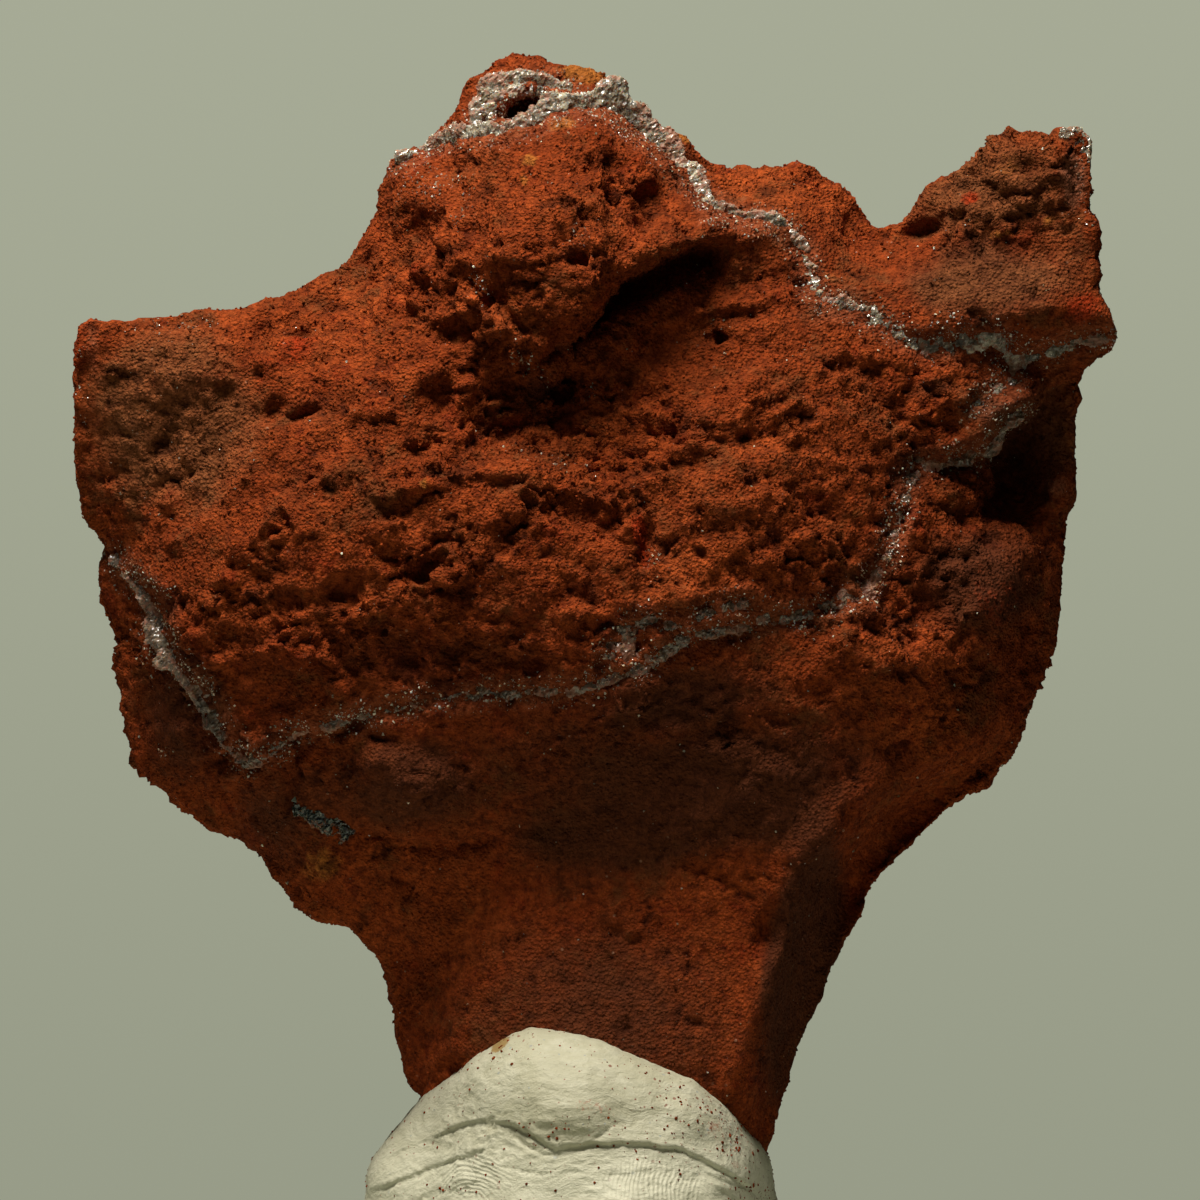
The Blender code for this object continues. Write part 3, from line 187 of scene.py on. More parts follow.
# Heights of the rock behind and below that block: both humps, the horn, the underside and the stem.
SHOULDER_FRONT = [
    (-12, 124, 3), (-7, 124.5, 5), (-1, 123, 5.5), (4, 120.5, 4), (-13, 120, 5), (-19, 116, 4),
    (-8, 121, 7), (11, 114, 4), (16, 113, 5), (22, 112, 4), (25.5, 110, 2.5), (16, 110.5, 6.5),
    (22, 107, 5.5), (24, 103, 6.5), (28.5, 107.5, 1.5), (28, 102, 6), (33, 112, 3), (33, 108.5, 2),
    (40, 116, 6.5), (47, 117, 7), (40, 111, 5), (47.5, 112, 5.5), (37, 107.5, 4.2), (37, 104.5, 6),
    (43, 107, 3.8), (43, 104, 7), (48, 104.5, 6), (33, 100, 7), (40, 101, 8), (47, 100, 7.5),
    (50.5, 98.5, 4.5), (46, 93, -0.5), (43, 88, -3), (42, 83, -4), (46, 83, 1), (43, 76, 5),
    (36, 83, 5.5), (33, 78, 9.5), (38, 72, 9), (44, 70, 4.5), (30, 70, 11.5), (33, 62, 10),
    (40, 62, 5.5), (26, 68, 14.5), (19, 68, 15.5), (10, 66, 17), (2, 62, 17.5), (-6, 60, 16.5),
    (-15, 59, 15.5), (-23, 57, 13.5), (-30, 55, 10), (26, 60, 14), (18, 59, 15), (10, 56, 15),
    (0, 54, 14), (-10, 53, 13.5), (-18, 52, 12.5), (-24, 52, 9.5), (30, 55.5, 9), (23, 49, 12.5),
    (16, 49, 13), (6, 47, 12), (-4, 47, 10.5), (-13, 46, 9.5), (-19, 46, 7), (-47, 72, 4),
    (-47, 64, 3.5), (-42, 66, 7.5), (-44, 59, 4.5), (-39, 58, 7), (-41, 53, 4), (-34, 53, 8),
    (-35, 48, 4.5), (-28, 47, 7), (-29, 42, 4), (-23, 42, 5.5), (-18, 38, 6), (-19, 31, 4.5),
    (-10, 38, 9.5), (0, 39, 11), (10, 39, 11.5), (19.5, 40, 11), (-12, 31, 10), (-4, 30, 12.5),
    (6, 30, 13.5), (17, 31, 12), (-15, 24, 8), (-6, 22, 12.5), (4, 22, 14), (15, 22, 12.5),
    (4, 13, 9), (-9, 14, 7),
]

# How far the rock goes back, as (x, z, back). The back is hidden, so this is a plain broken face.
ROCK_BACK = [
    (-7, 122, 9), (-14, 112, 11), (-22, 104, 9), (-40, 94, 7), (-48, 90, 4.5), (-45, 70, 8),
    (-36, 80, 13), (-40, 56, 7), (-30, 60, 15), (-28, 46, 8), (-20, 90, 15), (0, 110, 13), (12, 108, 9),
    (24, 106, 9), (40, 112, 8), (47, 112, 7), (46, 100, 9.5), (38, 96, 13), (20, 94, 17), (0, 92, 19),
    (-12, 74, 21), (8, 74, 24), (28, 74, 20), (42, 76, 12), (38, 58, 11), (24, 54, 17), (6, 54, 21),
    (-12, 52, 17), (-16, 38, 9), (0, 36, 15), (14, 36, 14), (24, 40, 8), (0, 22, 12), (12, 22, 11.5),
    (-12, 24, 9), (2, 12, 8),
]

# Where the silhouette runs, as (x, z, how far back the rim lies, half its thickness).
ROCK_RIM = [
    (-7, 126, 3, 4), (-40, 100, -1.5, 4.5), (-52, 90, -1, 4), (-49, 70, 3.5, 3.5), (-44, 54, 4, 4),
    (-30, 42, 3, 4), (-21, 34, 1.5, 4), (-16, 18, 1, 5), (0, 8, 0, 5), (18, 22, 3.5, 5), (25, 40, 5, 4),
    (34, 50, 4.5, 4), (43, 60, 5.5, 3.5), (46, 75, 6, 4), (47, 88, 5, 4), (51, 98, -2, 3), (49, 110, -1, 4),
    (45, 118, -0.5, 3.5), (34, 114, 2.5, 3.5), (28, 109, 5, 4), (20, 115, 4.5, 4), (8, 118, 2.5, 4),
    (-22, 110, 1.5, 4), (-30, 102, 0, 4),
]

# Lumps and hollows of the front as (x, z, half length, half width, turn, forward, steepness).
# The steepness runs from 0 for a soft swelling to 1 for a pit with steep sides.
FRONT_FORMS = [
    (5.5, 103.6, 5.5, 1.8, 28, -2.5, 0.4), (-17.5, 109.0, 2.4, 1.8, 80, -1.8, 0.3),
    (-13.5, 103.5, 2.4, 2.0, 0, -2.2, 0.4), (-10.3, 101.7, 2.0, 1.8, 0, -3.0, 0.7),
    (-14.0, 98.5, 2.4, 2.0, 0, -1.8, 0.3), (-5.5, 94.6, 3.8, 3.4, 60, -2.6, 0.4),
    (-3.4, 97.6, 2.6, 2.2, 0, -3.2, 0.6), (5.8, 112.0, 4.6, 3.0, 60, -2.2, 0.2),
    (-16.0, 92.0, 3.4, 2.8, 20, -2.2, 0.2), (-32.5, 90.5, 2.4, 1.4, 30, -1.8, 0.2),
    (-29.2, 90.2, 3.0, 1.2, 15, -2.2, 0.3), (-39.5, 97.0, 1.8, 1.4, 0, -0.5, 0.2),
    (-43.5, 97.0, 1.5, 1.2, 0, -0.4, 0.2), (-48.2, 93.5, 1.4, 1.2, 0, -0.5, 0.2),
    (-46.0, 93.8, 1.2, 1.0, 0, -0.4, 0.2), (-37.2, 92.5, 1.6, 1.2, 30, -0.6, 0.2),
    (-42.8, 87.8, 2.4, 1.2, -35, -0.7, 0.2), (-40.7, 84.5, 1.7, 1.2, 0, -0.6, 0.2),
    (-47.8, 85.0, 1.4, 1.2, 0, -0.6, 0.2), (-37.2, 84.2, 1.6, 1.2, 0, -0.5, 0.2),
    (-25.5, 73.0, 1.9, 1.5, 0, -2.2, 0.6), (-17.0, 75.0, 2.2, 1.7, 20, -2.0, 0.4),
    (-6.5, 65.5, 1.6, 1.4, 0, -1.6, 0.5), (4.5, 77.5, 3.8, 1.2, 75, -1.8, 0.5),
    (42.0, 83.0, 6.0, 4.2, 70, -1.8, 0.3), (45.7, 83.2, 2.6, 2.0, 70, 2.8, 0.4),
    (31.9, 108.8, 3.4, 1.1, 16, -3.2, 0.7), (39.5, 112.5, 3.0, 2.0, 10, -1.2, 0.2),
    (16.7, 38.8, 3.4, 2.0, 70, -2.0, 0.3), (-14.7, 25.5, 1.8, 1.4, 0, -1.6, 0.5),
    (-22.2, 58.5, 2.0, 1.1, -20, -1.8, 0.5), (11.7, 97.9, 2.4, 0.8, 8, -1.2, 0.3),
    (-9.5, 107.0, 3.4, 3.0, 0, 1.2, 0.0), (-2.5, 112.0, 3.4, 3.0, 0, 1.2, 0.0),
    (-0.6, 105.0, 2.6, 3.2, 0, 0.8, 0.2), (-7.2, 93.2, 1.8, 1.4, 40, 1.8, 0.2),
    (-31.0, 68.0, 5.6, 4.2, 10, 1.6, 0.1), (-20.0, 53.5, 8.4, 4.8, -8, 2.7, 0.2),
    (14.0, 92.0, 8.0, 4.0, 28, 1.0, 0.0), (6.0, 86.0, 6.0, 3.2, 28, 1.0, 0.0),
    (-30.0, 80.0, 5.0, 3.4, 15, 1.2, 0.1), (-7.6, 120.9, 3.7, 1.9, 24, -9.0, 0.8),
    (33.0, 66.0, 5.0, 3.6, 50, 1.0, 0.0), (-27.6, 46.0, 3.0, 2.4, 40, 1.0, 0.2),
    (8.6, 110.6, 1.9, 1.2, -50, -1.4, 0.5), (4.0, 108.8, 1.8, 1.4, 70, -1.0, 0.4),
    (3.6, 67.3, 2.2, 0.9, 32, -2.2, 0.7),
]

# The lower right edge of the boss, which hangs over a wedge-shaped recess.
BOSS_EDGE = [
    (-5.0, 92.0), (-3.6, 96.0), (-0.6, 100.6), (1.8, 103.2), (4.4, 105.2), (7.2, 106.4), (9.8, 106.8),
]

# Steps of the front as (points, forward, reach): the side on the left of the run stands forward.
FRONT_LEDGES = [
    ([(-20.0, 82.0), (-15.0, 83.8), (-8.0, 84.0), (0.0, 81.5)], 1.8, 4.0),
    (BOSS_EDGE, 2.4, 6.0), (BOSS_EDGE[2:][::-1], -6.5, 3.8), (BOSS_EDGE[:4][::-1], -2.5, 5.0),
    ([(0.6, 114.6), (0.9, 110.6), (1.5, 106.9), (1.0, 103.6)], -1.9, 4.6),
    ([(48.0, 94.4), (45.2, 92.8), (41.6, 89.6), (39.6, 86.4), (38.8, 82.8)], -3.4, 5.5),
    ([(22.2, 94.5), (23.5, 95.8), (26.0, 96.0), (28.5, 95.0)], 0.9, 2.5),
    ([(40.5, 99.8), (43.5, 100.6), (46.0, 100.9)], 0.8, 2.6),
    ([(46.0, 77.5), (44.0, 77.6), (40.0, 80.0), (37.5, 79.6)], 2.0, 4.0),
    ([(8.0, 99.5), (12.0, 100.6), (16.0, 101.2)], 1.2, 2.5),
    ([(-38.0, 99.0), (-34.0, 95.0), (-33.5, 90.0), (-36.0, 84.0), (-41.0, 79.0), (-46.0, 77.5)], 0.9, 4.0),
    ([(41.0, 90.0), (44.0, 92.6), (48.0, 94.4), (51.5, 96.2)], 2.0, 4.0),
    ([(-33.0, 66.5), (-28.0, 65.5), (-26.0, 62.0)], 1.2, 3.0),
]

# Cracks and seams of the front as (points, depth, half width).
FRONT_CRACKS = [
    ([(-29.5, 57.5), (-30.4, 54.5), (-31.0, 52.0)], 1.6, 0.9),
    ([(-26.0, 50.2), (-22.5, 48.4), (-18.5, 47.5), (-14.5, 47.4), (-11.0, 48.2)], 1.2, 0.9),
    ([(-20.5, 45.0), (-18.5, 43.0)], 1.2, 0.8), ([(8.5, 46.0), (12.5, 44.0)], 1.0, 0.7),
    ([(0.0, 39.5), (4.0, 37.5)], 1.0, 0.7), ([(-27.5, 61.8), (-25.5, 61.6)], 1.2, 0.6),
    ([(-16.0, 113.0), (-15.0, 108.0), (-13.0, 102.0), (-10.0, 98.5), (-6.0, 95.0)], -1.6, 1.7),
    ([(28.0, 54.0), (23.0, 49.0), (19.6, 45.4), (18.4, 40.0), (17.4, 35.0), (16.4, 30.0), (15.0, 23.0)],
     -1.4, 3.8),
]

# Edges where a face turns away, as (points, slope, softness). The face falls back on the right of the
# run, or on its left where the slope is negative.
FRONT_ARRISES = [
    ([(32.0, 55.6), (27.4, 53.4), (22.6, 48.6), (19.8, 45.6), (18.9, 42.0), (18.4, 39.0), (17.6, 35.0),
      (16.8, 31.5), (16.2, 28.0), (15.2, 24.0), (14.4, 15.0)], -3.0, 0.5),
    ([(-51.0, 104.0), (-51.2, 92.0), (-50.5, 88.0), (-50.2, 82.2), (-49.5, 79.0), (-50.5, 76.5),
      (-54.0, 76.0)], 1.3, 0.6),
]
BACK_ARRISES = [
    ([(-24.0, 112.0), (-12.0, 92.0), (-6.0, 70.0), (-14.0, 44.0)], 0.22, 1.5),
    ([(30.0, 108.0), (22.0, 88.0), (26.0, 66.0), (20.0, 36.0)], -0.28, 1.5),
    ([(-46.0, 60.0), (-20.0, 55.0), (4.0, 48.0), (30.0, 56.0)], -0.15, 2.0),
]
BACK_LEDGES = [
    ([(-30.0, 102.0), (-22.0, 88.0), (-23.0, 72.0), (-36.0, 60.0)], 2.0, 6.0),
    ([(9.0, 116.0), (13.0, 101.0), (29.0, 92.0), (46.0, 88.0)], 2.0, 6.0),
    ([(24.0, 58.0), (8.0, 64.0), (-11.0, 50.0)], 1.8, 5.0),
]
BACK_FORMS = [
    (-18.0, 84.0, 8.0, 5.0, 30, -2.5, 0.2), (14.0, 80.0, 9.0, 5.0, -20, 1.8, 0.1),
    (-2.0, 60.0, 7.0, 5.0, 10, -2.2, 0.2), (32.0, 86.0, 5.0, 4.0, 0, -2.5, 0.4),
    (-32.0, 72.0, 5.0, 4.0, 40, -1.8, 0.3), (8.0, 100.0, 5.0, 4.0, 0, -2.0, 0.3),
    (4.0, 38.0, 4.0, 6.0, 0, -1.6, 0.2), (-4.0, 74.0, 3.0, 2.4, 0, -2.4, 0.6),
]

# Where tiny crystals are strewn over the rock, as rows of the forms above.
SPARKLING = [
    (-14.0, 111.5, 1.2, 4.5, -10, 1.0, 0.3), (-11.5, 102.0, 1.2, 5.0, 22, 0.8, 0.3),
    (-7.0, 95.5, 1.2, 4.0, 45, 0.7, 0.3), (-2.0, 108.5, 1.2, 1.2, 0, 0.8, 0.5),
    (-17.0, 113.5, 4.0, 2.6, 20, 0.7, 0.2), (11.5, 99.2, 2.6, 0.4, 15, 1.6, 0.6),
    (20.0, 96.6, 4.0, 0.5, 25, 0.7, 0.5), (5.0, 76.0, 1.0, 4.0, 10, 0.8, 0.3),
    (2.4, 66.0, 5.0, 3.4, 25, 0.7, 0.2), (48.4, 113.5, 1.2, 5.0, 0, 1.0, 0.3),
    (40.0, 95.0, 4.0, 3.4, 30, 0.8, 0.2), (36.0, 99.4, 7.0, 1.8, -5, 0.7, 0.2),
    (-43.0, 99.4, 6.0, 1.0, 2, 0.7, 0.3), (-51.4, 94.0, 0.8, 6.0, 0, 0.8, 0.3),
    (-43.5, 67.0, 3.0, 6.0, 30, 0.7, 0.2), (-23.0, 60.8, 8.0, 1.2, 6, 0.6, 0.3),
    (-1.0, 92.5, 3.0, 1.4, 15, 0.5, 0.2), (-5.0, 86.0, 7.0, 1.0, -8, 0.4, 0.2),
    (-43.4, 56.8, 0.9, 0.9, 0, 1.2, 0.5), (22.0, 69.0, 2.4, 1.2, 0, 0.7, 0.3),
    (46.5, 97.4, 5.4, 1.3, 12, 1.2, 0.3), (34.0, 98.4, 5.0, 2.2, -10, 1.0, 0.3),
    (40.8, 96.6, 2.0, 3.0, 0, 1.0, 0.3), (-7.6, 121.0, 4.6, 2.6, 12, 4.0, 0.3),
]

# Where the skin is combed into fine ridges that rise to the right, as rows of the forms above.
COMBED = [
    (18.0, 91.0, 14.0, 7.0, 27, 1.0, 0.3), (31.0, 92.0, 8.0, 4.0, 20, 0.6, 0.2),
    (-2.0, 72.0, 12.0, 5.0, 12, 0.5, 0.2),
]
COMB_TURN = math.radians(27)

# How rough the skin is, as (x, z, share): the front block is the roughest, the stem the smoothest.
ROCK_ROUGHNESS = [
    (-45, 90, 0.42), (-43, 80, 0.6), (-25, 100, 0.8), (-20, 90, 1.0), (-5, 105, 1.0), (-8, 95, 1.2),
    (-30, 70, 1.0), (-10, 70, 1.0), (10, 90, 0.8), (20, 80, 0.8), (30, 90, 0.8), (40, 95, 0.7),
    (20, 110, 0.5), (12, 102, 0.5), (40, 112, 0.8), (45, 104, 0.4), (36, 104, 0.5), (-7, 124, 0.7),
    (-25, 53, 0.5), (0, 55, 0.4), (20, 60, 0.6), (35, 68, 0.8), (42, 62, 0.7), (45, 75, 0.5),
    (25, 48, 0.35), (0, 40, 0.28), (10, 30, 0.22), (-15, 30, 0.28), (22, 36, 0.2), (-42, 60, 0.7),
    (-30, 46, 0.7), (0, 15, 0.3),
]

# Outline of the putty from the front, clockwise from its left side. It runs on below the table, where
# the lump is cut off flat.
PUTTY_OUTLINE = [
    (-25.0, -8.0), (-25.6, 2.0), (-24.8, 8.0), (-23.4, 12.0), (-23.3, 14.6), (-22.7, 16.1), (-21.3, 18.0),
    (-19.4, 20.3), (-17.5, 22.6), (-14.8, 24.7), (-12.5, 26.7), (-10.8, 27.8), (-8.5, 29.1), (-6.8, 29.7),
    (-3.5, 29.3), (0.0, 28.5), (3.8, 26.8), (7.7, 25.1), (9.6, 24.4), (11.9, 22.4), (13.4, 20.7),
    (14.4, 19.4), (15.9, 17.9), (16.9, 16.1), (17.3, 14.0), (17.6, 12.0), (18.8, 8.0), (19.8, 2.0),
    (19.2, -8.0),
]
PUTTY_FOLDS = [
    ([(-15.5, 19.2), (-13.2, 20.3), (-10.7, 20.6), (-8.6, 20.2), (-6.9, 19.4), (-5.4, 18.4), (-4.0, 18.0),
      (-1.2, 18.4), (3.6, 18.5), (8.3, 17.8), (12.1, 15.8), (15.5, 13.4)], 0.65, 3.0),
    ([(-23.3, 13.1), (-18.6, 15.0), (-16.1, 16.1), (-12.0, 17.5)], 0.45, 2.4),
    ([(-17.4, 13.0), (-15.8, 13.8), (-12.7, 14.5)], 0.4, 2.0),
]
PUTTY_CREASES = [
    ([(-15.5, 19.0), (-13.2, 20.1), (-10.7, 20.4), (-8.6, 20.0), (-6.9, 19.2), (-5.4, 18.2), (-4.0, 17.8),
      (-1.2, 18.2), (3.6, 18.3), (8.3, 17.6), (12.1, 15.6), (15.5, 13.2)], 0.55, 0.3),
    ([(-23.3, 12.8), (-18.6, 14.7), (-16.1, 15.8), (-12.0, 17.2)], 0.45, 0.3),
    ([(-20.5, 16.6), (-18.0, 17.9), (-16.0, 18.0)], 0.4, 0.3),
    ([(-8.4, 19.0), (-6.0, 17.4), (-3.4, 17.2)], 0.4, 0.3),
    ([(-0.4, 18.9), (1.4, 20.3), (2.4, 20.4)], 0.3, 0.3),
    ([(-9.6, 16.0), (-6.0, 15.4), (-2.0, 15.7)], 0.3, 0.3),
    ([(11.6, 13.9), (13.6, 12.4), (15.8, 11.6)], 0.4, 0.3),
    ([(10.0, 15.6), (13.0, 14.2), (16.0, 13.8)], 0.3, 0.28),
    ([(-22.0, 10.4), (-17.0, 11.6), (-12.0, 11.8), (-9.0, 12.6)], 0.4, 0.3),
    ([(-4.0, 8.8), (3.0, 9.6), (9.0, 9.0), (14.0, 7.4)], 0.6, 0.45),
]
# Where red dust is rubbed in, where fine creases run, and where fingers left their prints.
PUTTY_DUST = [
    (13.5, 19.0, 5.0, 4.0, -45, 1.0, 0.2), (7.0, 22.5, 9.0, 3.4, -28, 0.8, 0.2),
    (-9.0, 27.4, 5.0, 2.6, 25, 0.7, 0.2), (-2.0, 20.4, 7.0, 2.0, 0, 0.7, 0.2),
    (8.0, 17.4, 9.0, 2.4, -8, 0.7, 0.2), (14.0, 13.6, 4.0, 3.0, -30, 0.8, 0.2),
    (-14.0, 13.0, 9.0, 4.0, 10, 0.3, 0.1), (2.0, 8.0, 14.0, 5.0, 0, 0.35, 0.1),
]
PUTTY_SMEAR = [
    (-0.6, 22.0, 3.4, 1.2, -8, 0.6, 0.2), (11.4, 19.6, 2.0, 1.6, -60, 0.7, 0.2),
    (13.4, 16.2, 1.4, 0.6, -20, 0.8, 0.3), (-3.8, 12.6, 2.2, 0.8, 0, 0.7, 0.3),
    (-14.0, 22.4, 2.4, 1.0, 40, 0.35, 0.2), (1.0, 12.4, 2.0, 0.6, 0, 0.5, 0.3),
]
PUTTY_TORN = [(-9.9, 27.9, 1.5, 0.7, 35, 1.0, 0.8)]
PUTTY_STRETCH = [
    (-8.0, 19.0, 12.0, 4.5, 0, 1.0, 0.3), (6.0, 14.5, 14.0, 4.0, -8, 0.8, 0.2),
    (-16.0, 15.0, 9.0, 5.0, 20, 0.7, 0.2), (-4.0, 9.0, 22.0, 7.0, 0, 0.8, 0.2),
    (-3.0, 25.0, 12.0, 4.0, 0, 0.4, 0.1),
]
PUTTY_PRINTS = [
    (-12.6, 15.0, 4.6, 3.2, 8, 1.0, 0.5), (5.0, 14.4, 7.0, 3.6, -8, 1.0, 0.5),
    (-8.0, 9.0, 6.0, 3.0, 0, 0.8, 0.4),
]
# The middles of the two finger prints that bend the ridges.
WHORL = (-12.6, 11.4)
THUMB = (-34.0, 17.0)
PUTTY_LUMPS = [
    (-4.0, 23.0, 8.0, 4.6, -10, 0.7, 0.0), (-3.0, 20.8, 6.0, 2.6, 0, 0.9, 0.0),
    (4.0, 12.0, 9.0, 4.0, 5, 0.8, 0.0), (-3.0, 6.0, 26.0, 14.0, 0, 2.2, 0.0),
    (-9.9, 27.7, 1.6, 0.8, 35, 0.7, 0.8), (-14.0, 9.0, 7.0, 4.0, 15, 0.9, 0.0),
    (9.0, 21.0, 3.6, 2.4, -35, 0.7, 0.0),
]


# Coloured patches of the rock as (x, z, half length, half width, turn, strength, steepness); the dark brown
# ones are partly painted shade.
STAINS: dict[str, Path] = {
    "ochre": [
        (-1.5, 124.2, 4.2, 1.5, -15, 0.9, 0.3), (-7.0, 115.5, 1.4, 1.2, 0, 0.8, 0.5),
        (-7.6, 113.6, 0.8, 1.0, 0, 0.6, 0.5), (8.4, 118.2, 1.3, 0.8, -40, 1.0, 0.5),
        (-3.6, 119.4, 2.4, 0.9, 15, 0.8, 0.4), (40.0, 108.4, 2.6, 1.0, 10, 0.6, 0.3),
        (44.6, 109.8, 1.3, 0.8, 0, 0.6, 0.4), (22.2, 104.3, 2.2, 2.6, 0, 0.35, 0.2),
        (-27.6, 45.7, 3.4, 3.2, 0, 0.6, 0.3), (-17.5, 83.6, 0.7, 0.6, 0, 0.9, 0.5),
        (41.0, 115.4, 4.0, 2.0, 10, 0.4, 0.1), (46.0, 88.0, 2.0, 4.0, 0, 0.25, 0.1),
        (25.4, 80.6, 0.6, 0.5, 0, 0.7, 0.5), (-12.0, 105.0, 0.7, 0.6, 0, 0.4, 0.5),
    ],
    "scarlet": [
        (-30.0, 97.0, 4.0, 2.6, 20, 0.6, 0.2), (37.0, 112.0, 1.6, 1.4, 0, 0.8, 0.3),
        (4.0, 78.0, 1.2, 4.4, 10, 1.0, 0.3), (48.0, 101.0, 3.6, 2.6, 20, 0.8, 0.2),
        (14.0, 76.0, 2.0, 1.0, 0, 0.3, 0.2), (39.0, 72.0, 7.0, 6.0, 0, 0.35, 0.1),
    ],
    "rosy": [
        (47.2, 114.0, 2.4, 5.0, 0, 0.8, 0.3), (45.7, 83.2, 2.6, 2.2, 0, 0.6, 0.2),
        (-38.0, 96.0, 5.0, 3.0, 0, 0.2, 0.1), (-13.0, 111.0, 2.0, 4.0, 0, 0.3, 0.1),
        (35.0, 96.0, 8.0, 2.6, -10, 0.35, 0.1), (4.0, 70.0, 4.0, 4.0, 20, 0.4, 0.1),
        (-50.5, 97.0, 1.5, 5.0, 0, 0.5, 0.3),
    ],
    "tan": [
        (39.0, 113.0, 13.0, 7.0, 12, 1.0, 0.3), (-42.5, 90.0, 12.5, 13.0, 25, 1.0, 0.6),
        (38.0, 103.5, 12.0, 5.0, 0, 0.75, 0.2), (46.0, 106.0, 5.0, 6.0, 0, 0.5, 0.2),
        (46.0, 90.0, 4.0, 10.0, 0, 0.7, 0.2), (22.0, 101.0, 5.0, 4.0, 0, 0.4, 0.1),
    ],
    # Dark brown stains, partly the rock's own colour and partly painted shade: under the overhang of the
    # front block, on the stem's right facet and on the ledge under the horn.
    "umber_and_painted_shade": [
        (-46.0, 84.0, 7.0, 8.0, 0, 0.15, 0.3), (40.0, 110.0, 9.0, 5.0, 12, 0.4, 0.3),
        (43.0, 88.0, 7.0, 9.0, 0, 0.8, 0.3), (-6.0, 93.0, 4.5, 3.5, 0, 0.6, 0.2),
        (33.0, 93.0, 4.0, 1.8, 0, 0.7, 0.2), (38.5, 91.0, 3.4, 1.6, -10, 0.7, 0.2),
        (9.0, 63.0, 13.0, 4.5, 8, 0.6, 0.3), (-20.0, 53.5, 11.0, 7.5, -5, 0.8, 0.2),
        (-42.0, 60.0, 7.0, 11.0, 0, 0.8, 0.2), (-32.0, 50.0, 8.0, 9.0, 0, 0.7, 0.2),
        (10.0, 52.0, 24.0, 8.0, 10, 0.45, 0.1), (-2.0, 97.0, 3.0, 2.6, 0, 0.4, 0.1),
        (48.0, 70.0, 4.0, 16.0, 0, 0.6, 0.2), (22.0, 42.0, 6.0, 18.0, 25, 0.45, 0.2),
        (-27.0, 92.0, 7.0, 4.0, 0, 0.35, 0.1), (10.0, 90.0, 5.0, 10.0, 0, 0.25, 0.0),
        (22.0, 100.0, 5.0, 3.0, 0, 0.4, 0.1), (6.0, 55.0, 34.0, 12.0, 0, 0.7, 0.2),
        (20.0, 34.0, 4.8, 20.0, -8, 1.0, 0.5), (38.0, 103.5, 13.0, 6.0, 0, 0.9, 0.2),
        (38.0, 74.0, 10.0, 9.0, 0, 1.0, 0.1), (-30.0, 84.0, 8.0, 7.0, 0, 0.35, 0.1),
        (0.0, 47.0, 17.0, 5.0, 0, 0.5, 0.1), (18.0, 37.0, 3.0, 9.0, -10, 0.6, 0.2),
        (0.0, 30.0, 22.0, 17.0, 0, 0.8, 0.1), (-16.0, 66.0, 22.0, 5.0, 0, 0.4, 0.1),
    ],
    "bright": [
        (-24.0, 102.0, 9.0, 5.0, 30, 0.3, 0.1), (18.0, 112.5, 9.0, 3.6, -8, 0.7, 0.2),
        (-8.0, 122.0, 6.0, 3.0, 0, 0.5, 0.1), (14.0, 86.0, 14.0, 8.0, 28, 0.3, 0.0),
        (8.0, 74.5, 8.0, 4.0, 10, 0.6, 0.1), (2.0, 89.0, 7.0, 5.0, 0, 0.5, 0.1),
        (-22.0, 72.0, 10.0, 6.0, 0, 0.3, 0.0), (26.0, 84.0, 4.0, 6.0, 0, 0.4, 0.0),
        (8.0, 100.0, 5.0, 3.0, 20, 0.5, 0.1), (-40.0, 82.0, 6.0, 4.0, 0, 0.3, 0.1),
        (48.0, 101.0, 3.0, 2.0, 0, 0.6, 0.2), (-11.0, 101.0, 7.0, 6.0, 0, 0.6, 0.0),
        (34.0, 61.0, 6.0, 6.0, 0, 0.5, 0.1),
    ],
}


class Signal:
    """A number in a node tree. Arithmetic on it adds Math nodes."""

    def __init__(self, graph: Graph, socket: bpy.types.NodeSocket) -> None:
        """Keep the tree and the socket that the number comes out of."""
        self.graph = graph
        self.socket = socket

    def __add__(self, other: Signal | float) -> Signal:
        """Sum."""
        return self.graph.math("ADD", self, other)

    def __sub__(self, other: Signal | float) -> Signal:
        """Difference."""
        return self.graph.math("SUBTRACT", self, other)

    def __rsub__(self, other: float) -> Signal:
        """Difference from a plain number."""
        return self.graph.math("SUBTRACT", other, self)

    def __mul__(self, other: Signal | float) -> Signal:
        """Product."""
        return self.graph.math("MULTIPLY", self, other)

    def __truediv__(self, other: Signal | float) -> Signal:
        """Quotient."""
        return self.graph.math("DIVIDE", self, other)

    def __pow__(self, other: float) -> Signal:
        """Power."""
        return self.graph.math("POWER", self, other)

    __radd__ = __add__
    __rmul__ = __mul__


Feed = Signal | bpy.types.NodeSocket | float | tuple | bpy.types.ID | bool


